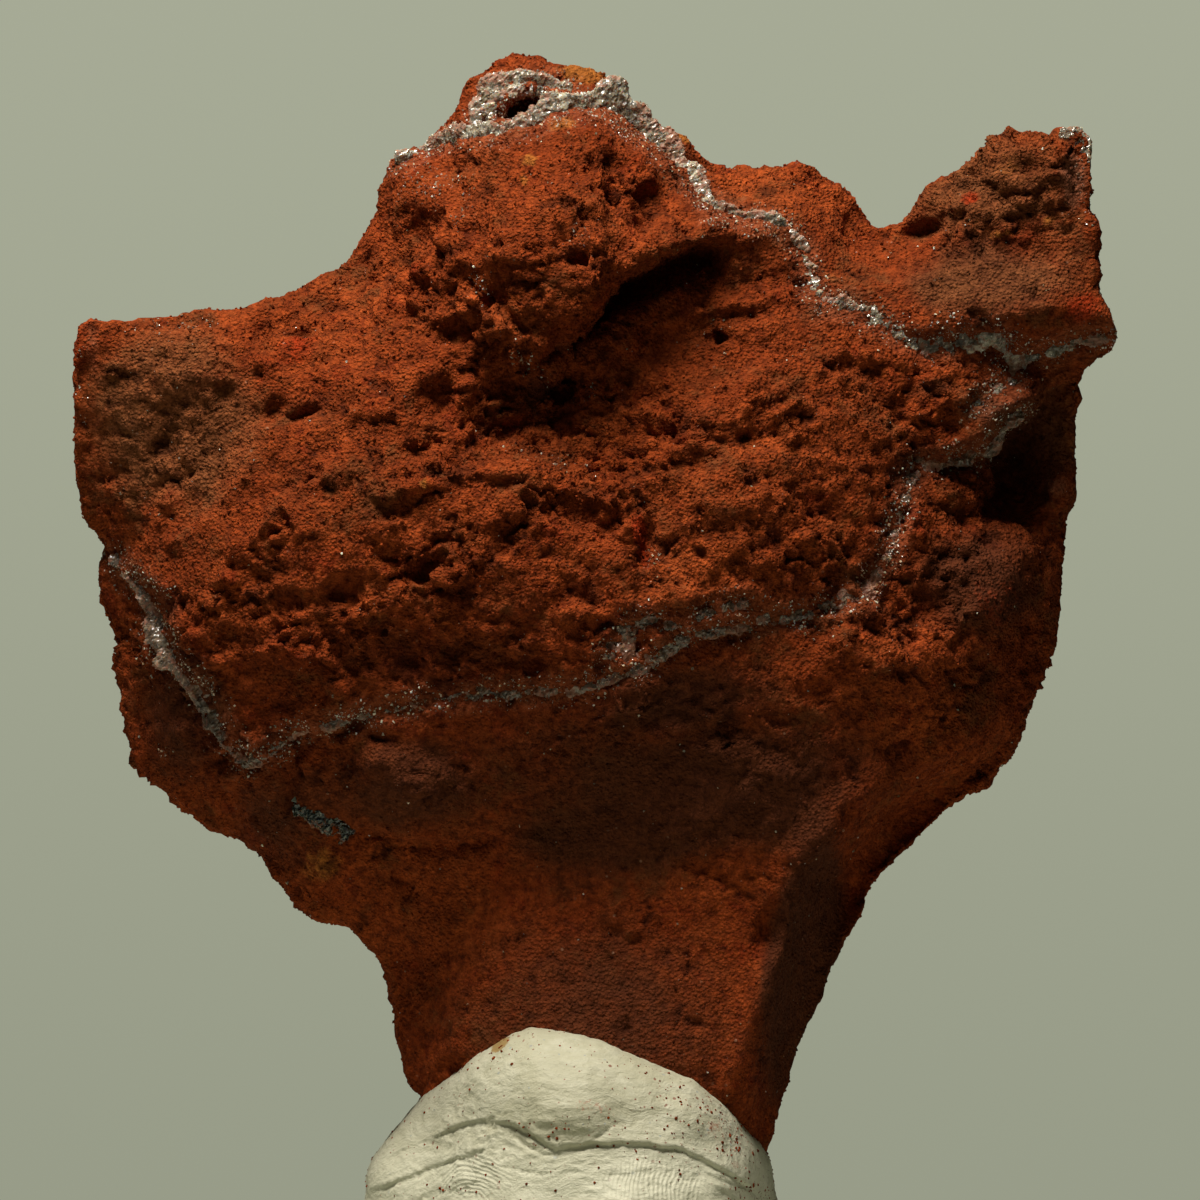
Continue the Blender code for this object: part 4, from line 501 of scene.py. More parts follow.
class Graph:
    """A node tree, for a material or for geometry, built by calls."""

    def __init__(self, tree: bpy.types.NodeTree) -> None:
        """Start on a tree with no nodes."""
        self.tree = tree
        tree.nodes.clear()

    def node(self, kind: str, settings: dict | None = None, feeds: dict | None = None) -> bpy.types.Node:
        """Add one node.

        Args:
            kind: The node's type.
            settings: Properties that are set before the sockets are filled.
            feeds: Values or links, by socket name or index.

        Returns:
            The new node.
        """
        made = self.tree.nodes.new(kind)
        for name, value in (settings or {}).items():
            setattr(made, name, value)
        for key, feed in (feeds or {}).items():
            self.feed(made.inputs[key], feed)
        return made

    def feed(self, socket: bpy.types.NodeSocket, feed: Feed) -> None:
        """Link or set one socket."""
        if isinstance(feed, Signal):
            self.tree.links.new(feed.socket, socket)
        elif isinstance(feed, bpy.types.NodeSocket):
            self.tree.links.new(feed, socket)
        else:
            socket.default_value = feed

    def math(self, operation: str, *values: Feed) -> Signal:
        """One Math node over up to three values."""
        made = self.node("ShaderNodeMath", {"operation": operation}, dict(enumerate(values)))
        return Signal(self, made.outputs[0])

    def vector(self, operation: str, *values: Feed) -> bpy.types.NodeSocket:
        """One Vector Math node over vectors; SCALE takes its number last."""
        feeds: dict = dict(enumerate(values))
        if operation == "SCALE":
            feeds = {0: values[0], "Scale": values[1]}
        return self.node("ShaderNodeVectorMath", {"operation": operation}, feeds).outputs[0]

    def noise(self, place: Feed, size: float, detail: float = 2.0, rough: float = 0.55) -> Signal:
        """Cloudy noise from 0 to 1 whose lumps are about the given size."""
        feeds = {"Vector": place, "Scale": 1.0 / size, "Detail": detail, "Roughness": rough}
        return Signal(self, self.node("ShaderNodeTexNoise", None, feeds).outputs[0])

    def cells(self, place: Feed, size: float, smooth: float = 0.0) -> tuple[Signal, bpy.types.NodeSocket]:
        """Rounded cells: the distance to each cell's middle, in cells, and a random colour for each."""
        feature = "SMOOTH_F1" if smooth else "F1"
        feeds: dict = {"Vector": place, "Scale": 1.0 / size}
        if smooth:
            feeds["Smoothness"] = smooth
        made = self.node("ShaderNodeTexVoronoi", {"feature": feature}, feeds)
        return Signal(self, made.outputs["Distance"]), made.outputs["Color"]

    def ramp(self, value: Feed, low: float, high: float, start: float = 0.0, end: float = 1.0) -> Signal:
        """A smooth change from start to end as the value goes from low to high."""
        feeds = {"Value": value, 1: low, 2: high, 3: start, 4: end}
        made = self.node("ShaderNodeMapRange", {"interpolation_type": "SMOOTHSTEP"}, feeds)
        return Signal(self, made.outputs[0])

    def split(self, vector: Feed) -> tuple[Signal, Signal, Signal]:
        """A vector's three numbers."""
        made = self.node("ShaderNodeSeparateXYZ", None, {0: vector})
        return tuple(Signal(self, socket) for socket in made.outputs)

    def scaled(self, place: Feed, label: str) -> bpy.types.NodeSocket:
        """A place counted in steps of one of the tree's named sizes."""
        return self.vector("SCALE", place, self.math("DIVIDE", 1.0, self.size(label)))

    def join(self, x: Feed, y: Feed, z: Feed) -> bpy.types.NodeSocket:
        """A vector from three numbers."""
        return self.node("ShaderNodeCombineXYZ", None, {0: x, 1: y, 2: z}).outputs[0]

    def blend(self, share: Feed, first: Feed, second: Feed, how: str = "MIX") -> bpy.types.NodeSocket:
        """Two colours mixed by a share."""
        settings = {"data_type": "RGBA", "blend_type": how, "clamp_factor": True}
        return self.node("ShaderNodeMix", settings, {0: share, 6: first, 7: second}).outputs[2]


def solid(red: float, green: float, blue: float) -> tuple[float, float, float, float]:
    """An opaque colour."""
    return (red, green, blue, 1.0)


class Thing:
    """Small helpers for meshes and objects."""

    @staticmethod
    def link(name: str, mesh: bpy.types.ID) -> bpy.types.Object:
        """A new object in the scene."""
        obj = bpy.data.objects.new(name, mesh)
        bpy.context.scene.collection.objects.link(obj)
        return obj

    @staticmethod
    def settle(obj: bpy.types.Object) -> None:
        """Work the modifiers and the place into the object's own mesh."""
        bpy.context.view_layer.update()
        graph = bpy.context.evaluated_depsgraph_get()
        mesh = bpy.data.meshes.new_from_object(obj.evaluated_get(graph))
        mesh.transform(obj.matrix_world)
        obj.modifiers.clear()
        obj.data = mesh
        obj.matrix_world = Matrix.Identity(4)

    @staticmethod
    def points(mesh: bpy.types.Mesh) -> np.ndarray:
        """The mesh's points in millimetres, one row each."""
        found = np.empty(len(mesh.vertices) * 3)
        mesh.vertices.foreach_get("co", found)
        return found.reshape(-1, 3) / MM

    @staticmethod
    def normals(mesh: bpy.types.Mesh) -> np.ndarray:
        """The directions that the mesh's points face, one row each."""
        found = np.empty(len(mesh.vertices) * 3)
        mesh.vertices.foreach_get("normal", found)
        return found.reshape(-1, 3)

    @staticmethod
    def move(mesh: bpy.types.Mesh, points: np.ndarray) -> None:
        """Put the mesh's points at the given places, in millimetres."""
        mesh.vertices.foreach_set("co", (points * MM).ravel())
        mesh.update()

    @staticmethod
    def note(mesh: bpy.types.Mesh, name: str, values: np.ndarray) -> None:
        """Keep one number for each point under a name."""
        layer = mesh.attributes.get(name) or mesh.attributes.new(name, "FLOAT", "POINT")
        layer.data.foreach_set("value", values.astype(np.float32))

    @staticmethod
    def remesh(obj: bpy.types.Object, voxel: float) -> None:
        """One closed skin of even squares."""
        modifier = obj.modifiers.new("even_skin", "REMESH")
        modifier.mode = "VOXEL"
        modifier.voxel_size = voxel * MM
        Thing.settle(obj)

    @staticmethod
    def thin_out(obj: bpy.types.Object, triangles: int) -> None:
        """Fewer, larger faces where the surface is plain."""
        obj.data.calc_loop_triangles()
        count = len(obj.data.loop_triangles)
        if count > triangles:
            modifier = obj.modifiers.new("fewer_faces", "DECIMATE")
            modifier.ratio = triangles / count
            Thing.settle(obj)

    @staticmethod
    def grow(obj: bpy.types.Object, tree: bpy.types.NodeTree, sizes: dict[str, Feed] | None = None) -> None:
        """Run a Geometry Nodes tree over the object and keep the plain mesh that it makes.

        Args:
            obj: The object whose mesh goes in and comes out.
            tree: The node tree.
            sizes: Values of the tree's named inputs.
        """
        modifier = obj.modifiers.new(tree.name, "NODES")
        modifier.node_group = tree
        sockets = {item.name: item.identifier for item in tree.interface.items_tree if item.in_out == "INPUT"}
        for name, value in (sizes or {}).items():
            modifier[sockets[name]] = value
        Thing.settle(obj)


def spline_kernel(distance: np.ndarray) -> np.ndarray:
    """The bending of a thin sheet at a distance from a point that holds it."""
    return np.where(distance > 0, distance**2 * np.log(np.maximum(distance, 1e-9)), 0.0)


def smooth_field(points: Path, column: int = 2, softness: float = 6.0) -> Surface:
    """A thin sheet bent over given heights.

    Args:
        points: Rows of x, z and one or more heights.
        column: Which number of a row is the height.
        softness: How far the sheet may miss a height to stay smooth.

    Returns:
        The sheet's height as a function of x and z.
    """
    table = np.array(points, float)
    centres = table[:, :2]
    count = len(table)
    apart = np.linalg.norm(centres[:, None] - centres[None], axis=2)
    system = np.zeros((count + 3, count + 3))
    system[:count, :count] = spline_kernel(apart) + softness * np.eye(count)
    system[:count, count] = 1
    system[:count, count + 1 :] = centres
    system[count:, :count] = system[:count, count:].T
    weights = np.linalg.solve(system, np.concatenate([table[:, column], np.zeros(3)]))

    def height(x: np.ndarray, z: np.ndarray) -> np.ndarray:
        """The sheet's height."""
        total = weights[count] + weights[count + 1] * x + weights[count + 2] * z
        for (cx, cz), weight in zip(centres, weights):
            total = total + weight * spline_kernel(np.hypot(x - cx, z - cz))
        return total

    return height


def distance_to(
    x: np.ndarray, z: np.ndarray, path: Path, closed: bool = False, endless: bool = False
) -> tuple[np.ndarray, np.ndarray]:
    """Distance to a path.

    Args:
        x: Places to measure from.
        z: The same places' heights over the table.
        path: The path's points.
        closed: Whether the path runs back to its start.
        endless: Whether it goes straight on past its ends.

    Returns:
        The distance, and the same with a sign that is positive on the left of the path's run.
    """
    stops = list(path) + ([path[0]] if closed else [])
    last = len(stops) - 2
    nearest = np.full(x.shape, 1e9)
    signed = np.full(x.shape, 1e9)
    for k, ((ax, az, *_), (bx, bz, *_)) in enumerate(zip(stops, stops[1:])):
        dx = bx - ax
        dz = bz - az
        low = -np.inf if endless and k == 0 else 0
        high = np.inf if endless and k == last else 1
        along = np.clip(((x - ax) * dx + (z - az) * dz) / (dx * dx + dz * dz), low, high)
        away = np.hypot(x - ax - along * dx, z - az - along * dz)
        side = np.sign(dx * (z - az) - dz * (x - ax))
        closer = away < nearest
        nearest = np.where(closer, away, nearest)
        signed = np.where(closer, away * side, signed)
    return nearest, signed


def depth_inside(x: np.ndarray, z: np.ndarray, outline: Path) -> np.ndarray:
    """Distance to a closed outline, positive inside it."""
    within = np.zeros(x.shape, bool)
    for (ax, az, *_), (bx, bz, *_) in zip(outline, outline[1:] + outline[:1]):
        crosses = (az > z) != (bz > z)
        lean = (bx - ax) / (bz - az) if bz != az else 0.0
        within ^= crosses & (x < ax + (z - az) * lean)
    away, _ = distance_to(x, z, outline, closed=True)
    return np.where(within, away, -away)


def ramp(value: np.ndarray, low: float, high: float) -> np.ndarray:
    """A smooth change from 0 at low to 1 at high."""
    t = np.clip((value - low) / (high - low), 0, 1)
    return t * t * (3 - 2 * t)


def forms(x: np.ndarray, z: np.ndarray, table: Path) -> np.ndarray:
    """The lumps and hollows of a table, added up."""
    total = np.zeros(x.shape)
    for cx, cz, length, width, turn, forward, steep in table:
        c = math.cos(math.radians(turn))
        s = math.sin(math.radians(turn))
        u = ((x - cx) * c + (z - cz) * s) / length
        v = (-(x - cx) * s + (z - cz) * c) / width
        q = np.hypot(u, v)
        soft = np.clip(1 - q * q, 0, 1) ** 2
        hard = 1 - ramp(q, 0.45, 1.0)
        total += forward * (soft * (1 - steep) + hard * steep)
    return total


def ledges(x: np.ndarray, z: np.ndarray, table: list) -> np.ndarray:
    """The steps of a table: forward beside the path, fading with the distance from it."""
    total = np.zeros(x.shape)
    for path, forward, reach in table:
        away, signed = distance_to(x, z, path)
        total += forward * ramp(signed, -LEDGE_LIP, LEDGE_LIP) * np.clip(1 - away / reach, 0, 1) ** 1.5
    return total


def cracks(x: np.ndarray, z: np.ndarray, table: list) -> np.ndarray:
    """The cracks of a table, deepest along the middle of each."""
    total = np.zeros(x.shape)
    for path, depth, half in table:
        away, _ = distance_to(x, z, path)
        total -= depth * np.clip(1 - (away / half) ** 2, 0, 1) ** 2
    return total


def arrises(x: np.ndarray, z: np.ndarray, table: list) -> np.ndarray:
    """Faces that fall back from an edge, on the right of its run or, for a negative slope, on its left."""
    total = np.zeros(x.shape)
    for path, slope, soft in table:
        _, signed = distance_to(x, z, path, endless=True)
        beyond = -signed if slope > 0 else signed
        total -= abs(slope) * np.where(beyond > 0, np.hypot(beyond, soft) - soft, 0.0)
    return total


class RockForm:
    """The rock's front and back surfaces as functions of x and z."""

    def __init__(self) -> None:
        """Bend a sheet over each table of heights."""
        self.lobe = smooth_field(LOBE_FRONT)
        self.shoulder = smooth_field(SHOULDER_FRONT)
        self.behind = smooth_field(ROCK_BACK)
        self.rim_back = smooth_field(ROCK_RIM, 2)
        self.rim_half = smooth_field(ROCK_RIM, 3)
        top = [point[:2] for point in UPPER_SEAM[:34]]
        right = [(44.0, 94.0), (43.5, 91.8)] + [point[:2] for point in LOWER_SEAM]
        left = [point[:2] for point in LEFT_SEAM[1:]]
        self.ring = top + right + left + [(-54.0, 77.0), (-56.0, 102.0), (-30.0, 110.0)]

    def rounding(self, x: np.ndarray, z: np.ndarray) -> np.ndarray:
        """How far the surface has risen from the rim, from 0 at the outline to 1."""
        u = np.clip(depth_inside(x, z, ROCK_OUTLINE) / ROCK_EDGE_ROUNDING, 0, 1)
        return 1 - (1 - u) ** ROCK_EDGE_CURVE

    def front(self, x: np.ndarray, z: np.ndarray) -> np.ndarray:
        """How far the front comes forward of the middle plane."""
        within = ramp(depth_inside(x, z, self.ring), -LOBE_EDGE, LOBE_EDGE)
        height = self.shoulder(x, z) * (1 - within) + self.lobe(x, z) * within
        height += forms(x, z, FRONT_FORMS) + ledges(x, z, FRONT_LEDGES) + cracks(x, z, FRONT_CRACKS)
        height += arrises(x, z, FRONT_ARRISES)
        rim = self.rim_half(x, z) - self.rim_back(x, z)
        return rim + (np.maximum(height, rim - FRONT_SINK_LIMIT) - rim) * self.rounding(x, z)

    def back(self, x: np.ndarray, z: np.ndarray) -> np.ndarray:
        """How far the back goes behind the middle plane."""
        height = self.behind(x, z) + forms(x, z, BACK_FORMS)
        height += arrises(x, z, BACK_ARRISES) + ledges(x, z, BACK_LEDGES)
        rim = self.rim_half(x, z) + self.rim_back(x, z)
        return rim + (np.maximum(height, rim - BACK_SINK_LIMIT) - rim) * self.rounding(x, z)


class PuttyForm:
    """The putty's surfaces: the stem's own surface plus a thickness that grows from the putty's edge."""

    def __init__(self, rock: RockForm) -> None:
        """Keep the rock whose stem the putty wraps."""
        self.rock = rock

    def thickness(self, x: np.ndarray, z: np.ndarray) -> np.ndarray:
        """How far the putty stands off the stem."""
        u = np.clip(depth_inside(x, z, PUTTY_OUTLINE) / PUTTY_EDGE_ROUNDING, 0, 1)
        return PUTTY_THICKNESS * np.sqrt(np.clip(1 - (1 - u) ** 2, 0, 1))

    def front(self, x: np.ndarray, z: np.ndarray) -> np.ndarray:
        """How far the front comes forward, with its lumps."""
        edge = np.clip(depth_inside(x, z, PUTTY_OUTLINE) / 2.0, 0, 1)
        lumps = edge * forms(x, z, PUTTY_LUMPS)
        return self.rock.front(x, np.maximum(z, FOOT_LEVEL)) + self.thickness(x, z) + lumps

    def folds(self, x: np.ndarray, z: np.ndarray) -> np.ndarray:
        """How far the folds stand out of the front and the creases cut into it."""
        edge = np.clip(depth_inside(x, z, PUTTY_OUTLINE) / 2.0, 0, 1)
        wander = z + 0.06 * np.sin(2.3 * x) + 0.03 * np.sin(7.3 * x + 1.0)
        share = 0.45 + 0.25 * np.sin(0.9 * x + 2.0)
        return edge * (ledges(x, wander, PUTTY_FOLDS) * 0.8 + share * cracks(x, wander, PUTTY_CREASES))

    def back(self, x: np.ndarray, z: np.ndarray) -> np.ndarray:
        """How far the back goes behind the middle plane."""
        return self.rock.back(x, np.maximum(z, FOOT_LEVEL)) + self.thickness(x, z)


def drawn_body(
    name: str, outline: Path, front: Surface, back: Surface, grid: float, voxel: float
) -> bpy.types.Object:
    """A body with the given outline whose plate is pulled out to its front and back surfaces.

    Args:
        name: The object's name.
        outline: The outline seen from the front.
        front: How far the front comes forward.
        back: How far the back goes back.
        grid: The size of the plate's squares before it is pulled.
        voxel: The size of the finished skin's squares.

    Returns:
        The body as a closed mesh.
    """
    curve = bpy.data.curves.new(name, "CURVE")
    curve.dimensions = "2D"
    curve.fill_mode = "BOTH"
    curve.extrude = PLATE_HALF * MM
    spline = curve.splines.new("POLY")
    spline.points.add(len(outline) - 1)
    for point, (x, z) in zip(spline.points, outline):
        point.co = (x * MM, z * MM, 0.0, 1.0)
    spline.use_cyclic_u = True
    guide = Thing.link(name, curve)
    guide.rotation_euler.x = math.radians(90)
    bpy.context.view_layer.update()
    graph = bpy.context.evaluated_depsgraph_get()
    mesh = bpy.data.meshes.new_from_object(guide.evaluated_get(graph))
    mesh.transform(guide.matrix_world)
    bpy.data.objects.remove(guide, do_unlink=True)
    bm = bmesh.new()
    bm.from_mesh(mesh)
    bmesh.ops.remove_doubles(bm, verts=bm.verts, dist=0.00001)
    bm.to_mesh(mesh)
    bm.free()
    body = Thing.link(name, mesh)
    Thing.remesh(body, grid)
    points = Thing.points(body.data)
    x = points[:, 0]
    z = points[:, 2]
    share = np.clip((points[:, 1] + PLATE_HALF) / (2 * PLATE_HALF), 0, 1)
    points[:, 1] = -front(x, z) * (1 - share) + back(x, z) * share
    Thing.move(body.data, points)
    Thing.remesh(body, voxel)
    return body


class GeometryTree(Graph):
    """A Geometry Nodes tree with named sizes as inputs."""

    def __init__(self, name: str, sizes: dict[str, float]) -> None:
        """Make the tree, its geometry sockets and one float input for each size."""
        tree = bpy.data.node_groups.new(name, "GeometryNodeTree")
        super().__init__(tree)
        tree.interface.new_socket("Geometry", in_out="INPUT", socket_type="NodeSocketGeometry")
        for label, value in sizes.items():
            socket = tree.interface.new_socket(label, in_out="INPUT", socket_type="NodeSocketFloat")
            socket.default_value = value
        tree.interface.new_socket("Geometry", in_out="OUTPUT", socket_type="NodeSocketGeometry")
        self.entry = self.node("NodeGroupInput")
        self.geometry = self.entry.outputs["Geometry"]

    def size(self, label: str) -> Signal:
        """One of the tree's named inputs."""
        return Signal(self, self.entry.outputs[label])

    def place(self) -> bpy.types.NodeSocket:
        """Where each point is, in millimetres."""
        return self.vector("SCALE", self.node("GeometryNodeInputPosition").outputs[0], 1 / MM)

    def kept(self, name: str) -> Signal:
        """A number that the mesh keeps for each point."""
        made = self.node("GeometryNodeInputNamedAttribute", {"data_type": "FLOAT"}, {"Name": name})
        return Signal(self, made.outputs["Attribute"])

    def keep(self, geometry: Feed, name: str, value: Feed, domain: str = "POINT") -> bpy.types.NodeSocket:
        """Keep a number for each point under a name."""
        settings = {"data_type": "FLOAT", "domain": domain}
        feeds = {"Geometry": geometry, "Name": name, "Value": value}
        return self.node("GeometryNodeStoreNamedAttribute", settings, feeds).outputs[0]

    def chance(self, low: Feed, high: Feed, seed: int) -> Signal:
        """A random number for each point or instance."""
        made = self.node("FunctionNodeRandomValue", {"data_type": "FLOAT"}, {2: low, 3: high, 8: seed})
        return Signal(self, made.outputs[1])

    def chance_vector(self, low: tuple, high: tuple, seed: int) -> bpy.types.NodeSocket:
        """A random vector for each point or instance."""
        made = self.node("FunctionNodeRandomValue", {"data_type": "FLOAT_VECTOR"}, {0: low, 1: high, 8: seed})
        return made.outputs[0]

    def push(self, geometry: Feed, amount: Signal) -> bpy.types.NodeSocket:
        """Move each point along its normal by a number of millimetres."""
        normal = self.node("GeometryNodeInputNormal").outputs[0]
        offset = self.vector("SCALE", normal, amount * MM)
        return self.node("GeometryNodeSetPosition", None, {"Geometry": geometry, "Offset": offset}).outputs[0]

    def finish(self, geometry: Feed, material: bpy.types.Material, smooth: bool) -> bpy.types.NodeTree:
        """End the tree: realize, shade and give the material."""
        real = self.node("GeometryNodeRealizeInstances", None, {"Geometry": geometry}).outputs[0]
        shaded = self.node("GeometryNodeSetShadeSmooth", None, {"Geometry": real, "Shade Smooth": smooth})
        feeds = {"Geometry": shaded.outputs[0], "Material": material}
        dressed = self.node("GeometryNodeSetMaterial", None, feeds)
        self.node("NodeGroupOutput", None, {"Geometry": dressed.outputs[0]})
        return self.tree


class Finish(Graph):
    """A Principled material built by calls, with patterns in millimetres on Object coordinates."""

    def __init__(self, name: str) -> None:
        """Make the material with its shader and output."""
        self.material = bpy.data.materials.new(name)
        self.material.use_nodes = True
        super().__init__(self.material.node_tree)
        self.shader = self.node("ShaderNodeBsdfPrincipled")
        self.output = self.node("ShaderNodeOutputMaterial", None, {"Surface": self.shader.outputs[0]})
        place = self.node("ShaderNodeTexCoord").outputs["Object"]
        self.place = self.vector("SCALE", place, 1 / MM)

    def kept(self, name: str) -> Signal:
        """A number that the mesh keeps for each point."""
        made = self.node("ShaderNodeAttribute", {"attribute_name": name, "attribute_type": "GEOMETRY"})
        return Signal(self, made.outputs["Fac"])

    def set(self, **values: Feed) -> None:
        """Fill the shader's sockets; underscores stand for spaces in their names."""
        for name, value in values.items():
            self.feed(self.shader.inputs[name.replace("_", " ")], value)

    def bump(self, height: Signal, depth: float, under: Feed | None = None) -> bpy.types.NodeSocket:
        """Tilt the surface by a height from 0 to 1 that stands for a depth in millimetres."""
        feeds: dict = {"Height": height, "Distance": depth * MM, "Strength": 1.0}
        if under is not None:
            feeds["Normal"] = under
        return self.node("ShaderNodeBump", None, feeds).outputs[0]


@dataclass(frozen=True)
class RockFinish:
    """Earthy hematite: brick red with dark brown, ochre, scarlet and rosy stains, the dark brown ones partly
    painted shade, with painted shade in every pit and low place.
    """

    base: tuple = solid(0.250, 0.040, 0.0075)
    bright: tuple = solid(0.44, 0.083, 0.017)
    olive: tuple = solid(0.140, 0.044, 0.013)
    blood: tuple = solid(0.260, 0.027, 0.0055)
    # Dark brown of stains that are partly painted shade.
    umber_and_painted_shade: tuple = solid(0.095, 0.028, 0.011)
    # Painted shade: the near-black brown that pits and low places are darkened towards.
    painted_hollow_shade: tuple = solid(0.030, 0.0075, 0.0030)
    ochre: tuple = solid(0.42, 0.140, 0.024)
    scarlet: tuple = solid(0.40, 0.036, 0.007)
    tan: tuple = solid(0.230, 0.077, 0.026)
    rosy: tuple = solid(0.30, 0.105, 0.052)
    dust: tuple = solid(0.50, 0.30, 0.19)
    roughness: float = 0.95

    def make(self) -> bpy.types.Material:
        """Build the material."""
        mat = Finish("hematite_earth")
        broad = mat.noise(mat.place, 14.0, 2.0)
        other = mat.noise(mat.vector("ADD", mat.place, (50.0, 20.0, 70.0)), 6.0, 4.0, 0.7)
        patch = mat.noise(mat.place, 4.0, 4.0, 0.65)
        speck = mat.noise(mat.place, 0.9, 4.0, 0.7)
        fine = mat.noise(mat.place, 0.35, 3.0, 0.75)
        grain, grain_colour = mat.cells(mat.place, 0.6)
        tone, chance, _ = mat.split(grain_colour)
        warm = broad * 0.5 + patch * 0.6 + (mat.kept("bright") * 0.3) + (speck - 0.5) * 0.5
        warm = mat.ramp(warm, 0.4, 0.9)
        colour = mat.blend(warm, self.base, self.bright)
        colour = mat.blend(mat.ramp(other + (speck - 0.5) * 0.4, 0.52, 0.70) * 0.75, colour, self.olive)
        colour = mat.blend(mat.ramp(other + (speck - 0.5) * 0.4, 0.45, 0.30) * 0.6, colour, self.blood)
        # Dark brown patches: partly real stain, partly painted shade where the rock lies under an overhang or
        # turns away from the light.
        share = mat.ramp(mat.kept("umber_and_painted_shade") + (patch - 0.5) * 0.9, 0.1, 0.9) * 0.9
        colour = mat.blend(share, colour, self.umber_and_painted_shade)
        aged = mat.ramp(mat.kept("tan") + (other - 0.5) * 1.1 + (speck - 0.5) * 0.6, 0.1, 1.0)
        colour = mat.blend(aged * 0.85, colour, self.tan)
        for name in ("scarlet", "rosy", "ochre"):
            share = mat.ramp(mat.kept(name) + (patch - 0.5) * 0.5 + (speck - 0.5) * 0.9, 0.25, 0.75)
            colour = mat.blend(share * 0.85, colour, getattr(self, name))
        share = mat.ramp(mat.kept("seam") * 0.7 + (speck - 0.5), 0.35, 0.85) * 0.35
        colour = mat.blend(share, colour, self.rosy)
        # Painted shade: the colour falls towards the near-black brown in the lows of the fine grain noise,
        # which the bump also uses, and where the pushed relief ends up low; each grain also has a random
        # tone.
        shade = mat.ramp(speck * 0.6 + fine * 0.4, 0.30, 0.62, 0.25, 1.0) * (tone * 0.3 + 0.8)
        shade = shade * mat.ramp(mat.kept("painted_hollow_shade"), 1.0, 0.1, 0.35, 1.0)
        colour = mat.blend(shade, self.painted_hollow_shade, colour)
        sparkle = mat.ramp(chance, 0.975, 0.985) * mat.ramp(grain, 0.32, 0.2) * mat.ramp(patch, 0.45, 0.6)
        colour = mat.blend(sparkle * (mat.kept("seam") * 0.5 + 0.3), colour, self.dust)
        mat.set(Base_Color=colour, Roughness=self.roughness, Specular_IOR_Level=0.06)
        sand, _ = mat.cells(mat.place, 0.38)
        height = speck * 0.5 + fine * 0.3 + mat.ramp(sand, 0.7, 0.1) * 0.2
        mat.set(Normal=mat.bump(height, 0.9))
        return mat.material


@dataclass(frozen=True)
class CalciteFinish:
    """Small glassy crystals: milky, grey and pinkish ones among clear ones, with rock dust on some."""

    name: str = "calcite_crystal"
    glow: float = 0.75
    grey: tuple = solid(0.40, 0.34, 0.25)
    milk: tuple = solid(0.93, 0.82, 0.62)
    pink: tuple = solid(0.52, 0.28, 0.16)
    dust: tuple = solid(0.24, 0.07, 0.026)
    glass: tuple = solid(0.86, 0.71, 0.54)
    dustiness: float = -0.04
    edge_dust: float = 0.10
    roughness: float = 0.12
    clearness: float = 0.6

    def make(self) -> bpy.types.Material:
        """Build the material."""
        mat = Finish(self.name)
        tone = mat.kept("tone")
        patch = mat.noise(mat.place, 3.5, 3.0)
        other = mat.noise(mat.vector("ADD", mat.place, (40.0, 9.0, 3.0)), 4.0, 3.0)
        speck = mat.noise(mat.place, 0.5, 2.0, 0.7)
        colour = mat.blend(mat.ramp(tone + (other - 0.5) * 1.8, 0.45, 0.85), self.grey, self.pink)
        milky = mat.ramp(tone + (patch - 0.5) * 1.6 + (speck - 0.5) * 0.8, 0.35, 0.95)
        colour = mat.blend(milky, colour, self.milk)
        cover = other * 0.7 + speck * 0.9 + (0.5 - tone) * 0.22 + mat.kept("rim") * self.edge_dust
        dusty = mat.ramp(cover + self.dustiness, 0.84, 0.96)
        colour = mat.blend(dusty * 0.85, colour, self.dust)
        facet = mat.bump(mat.noise(mat.place, 0.25, 2.0), 0.05)
        mat.set(Base_Color=colour, Roughness=dusty * 0.55 + self.roughness, IOR=1.6, Normal=facet)
        mat.set(Subsurface_Weight=self.glow, Subsurface_Radius=(1.0, 0.7, 0.45), Subsurface_Scale=0.5 * MM)
        clear = mat.node("ShaderNodeBsdfPrincipled", None, {
            "Base Color": self.glass, "Roughness": 0.05, "IOR": 1.6, "Transmission Weight": 1.0,
            "Normal": facet,
        })
        clouds = mat.noise(mat.vector("ADD", mat.place, (5.0, 80.0, 11.0)), 2.2, 4.0, 0.7)
        share = mat.ramp(clouds + (0.5 - tone) * 0.25, 0.42, 0.56) * (1.0 - dusty)
        mixed = mat.node("ShaderNodeMixShader", None, {
            0: share * self.clearness, 1: mat.shader.outputs[0], 2: clear.outputs[0],
        })
        mat.feed(mat.output.inputs[0], mixed.outputs[0])
        return mat.material


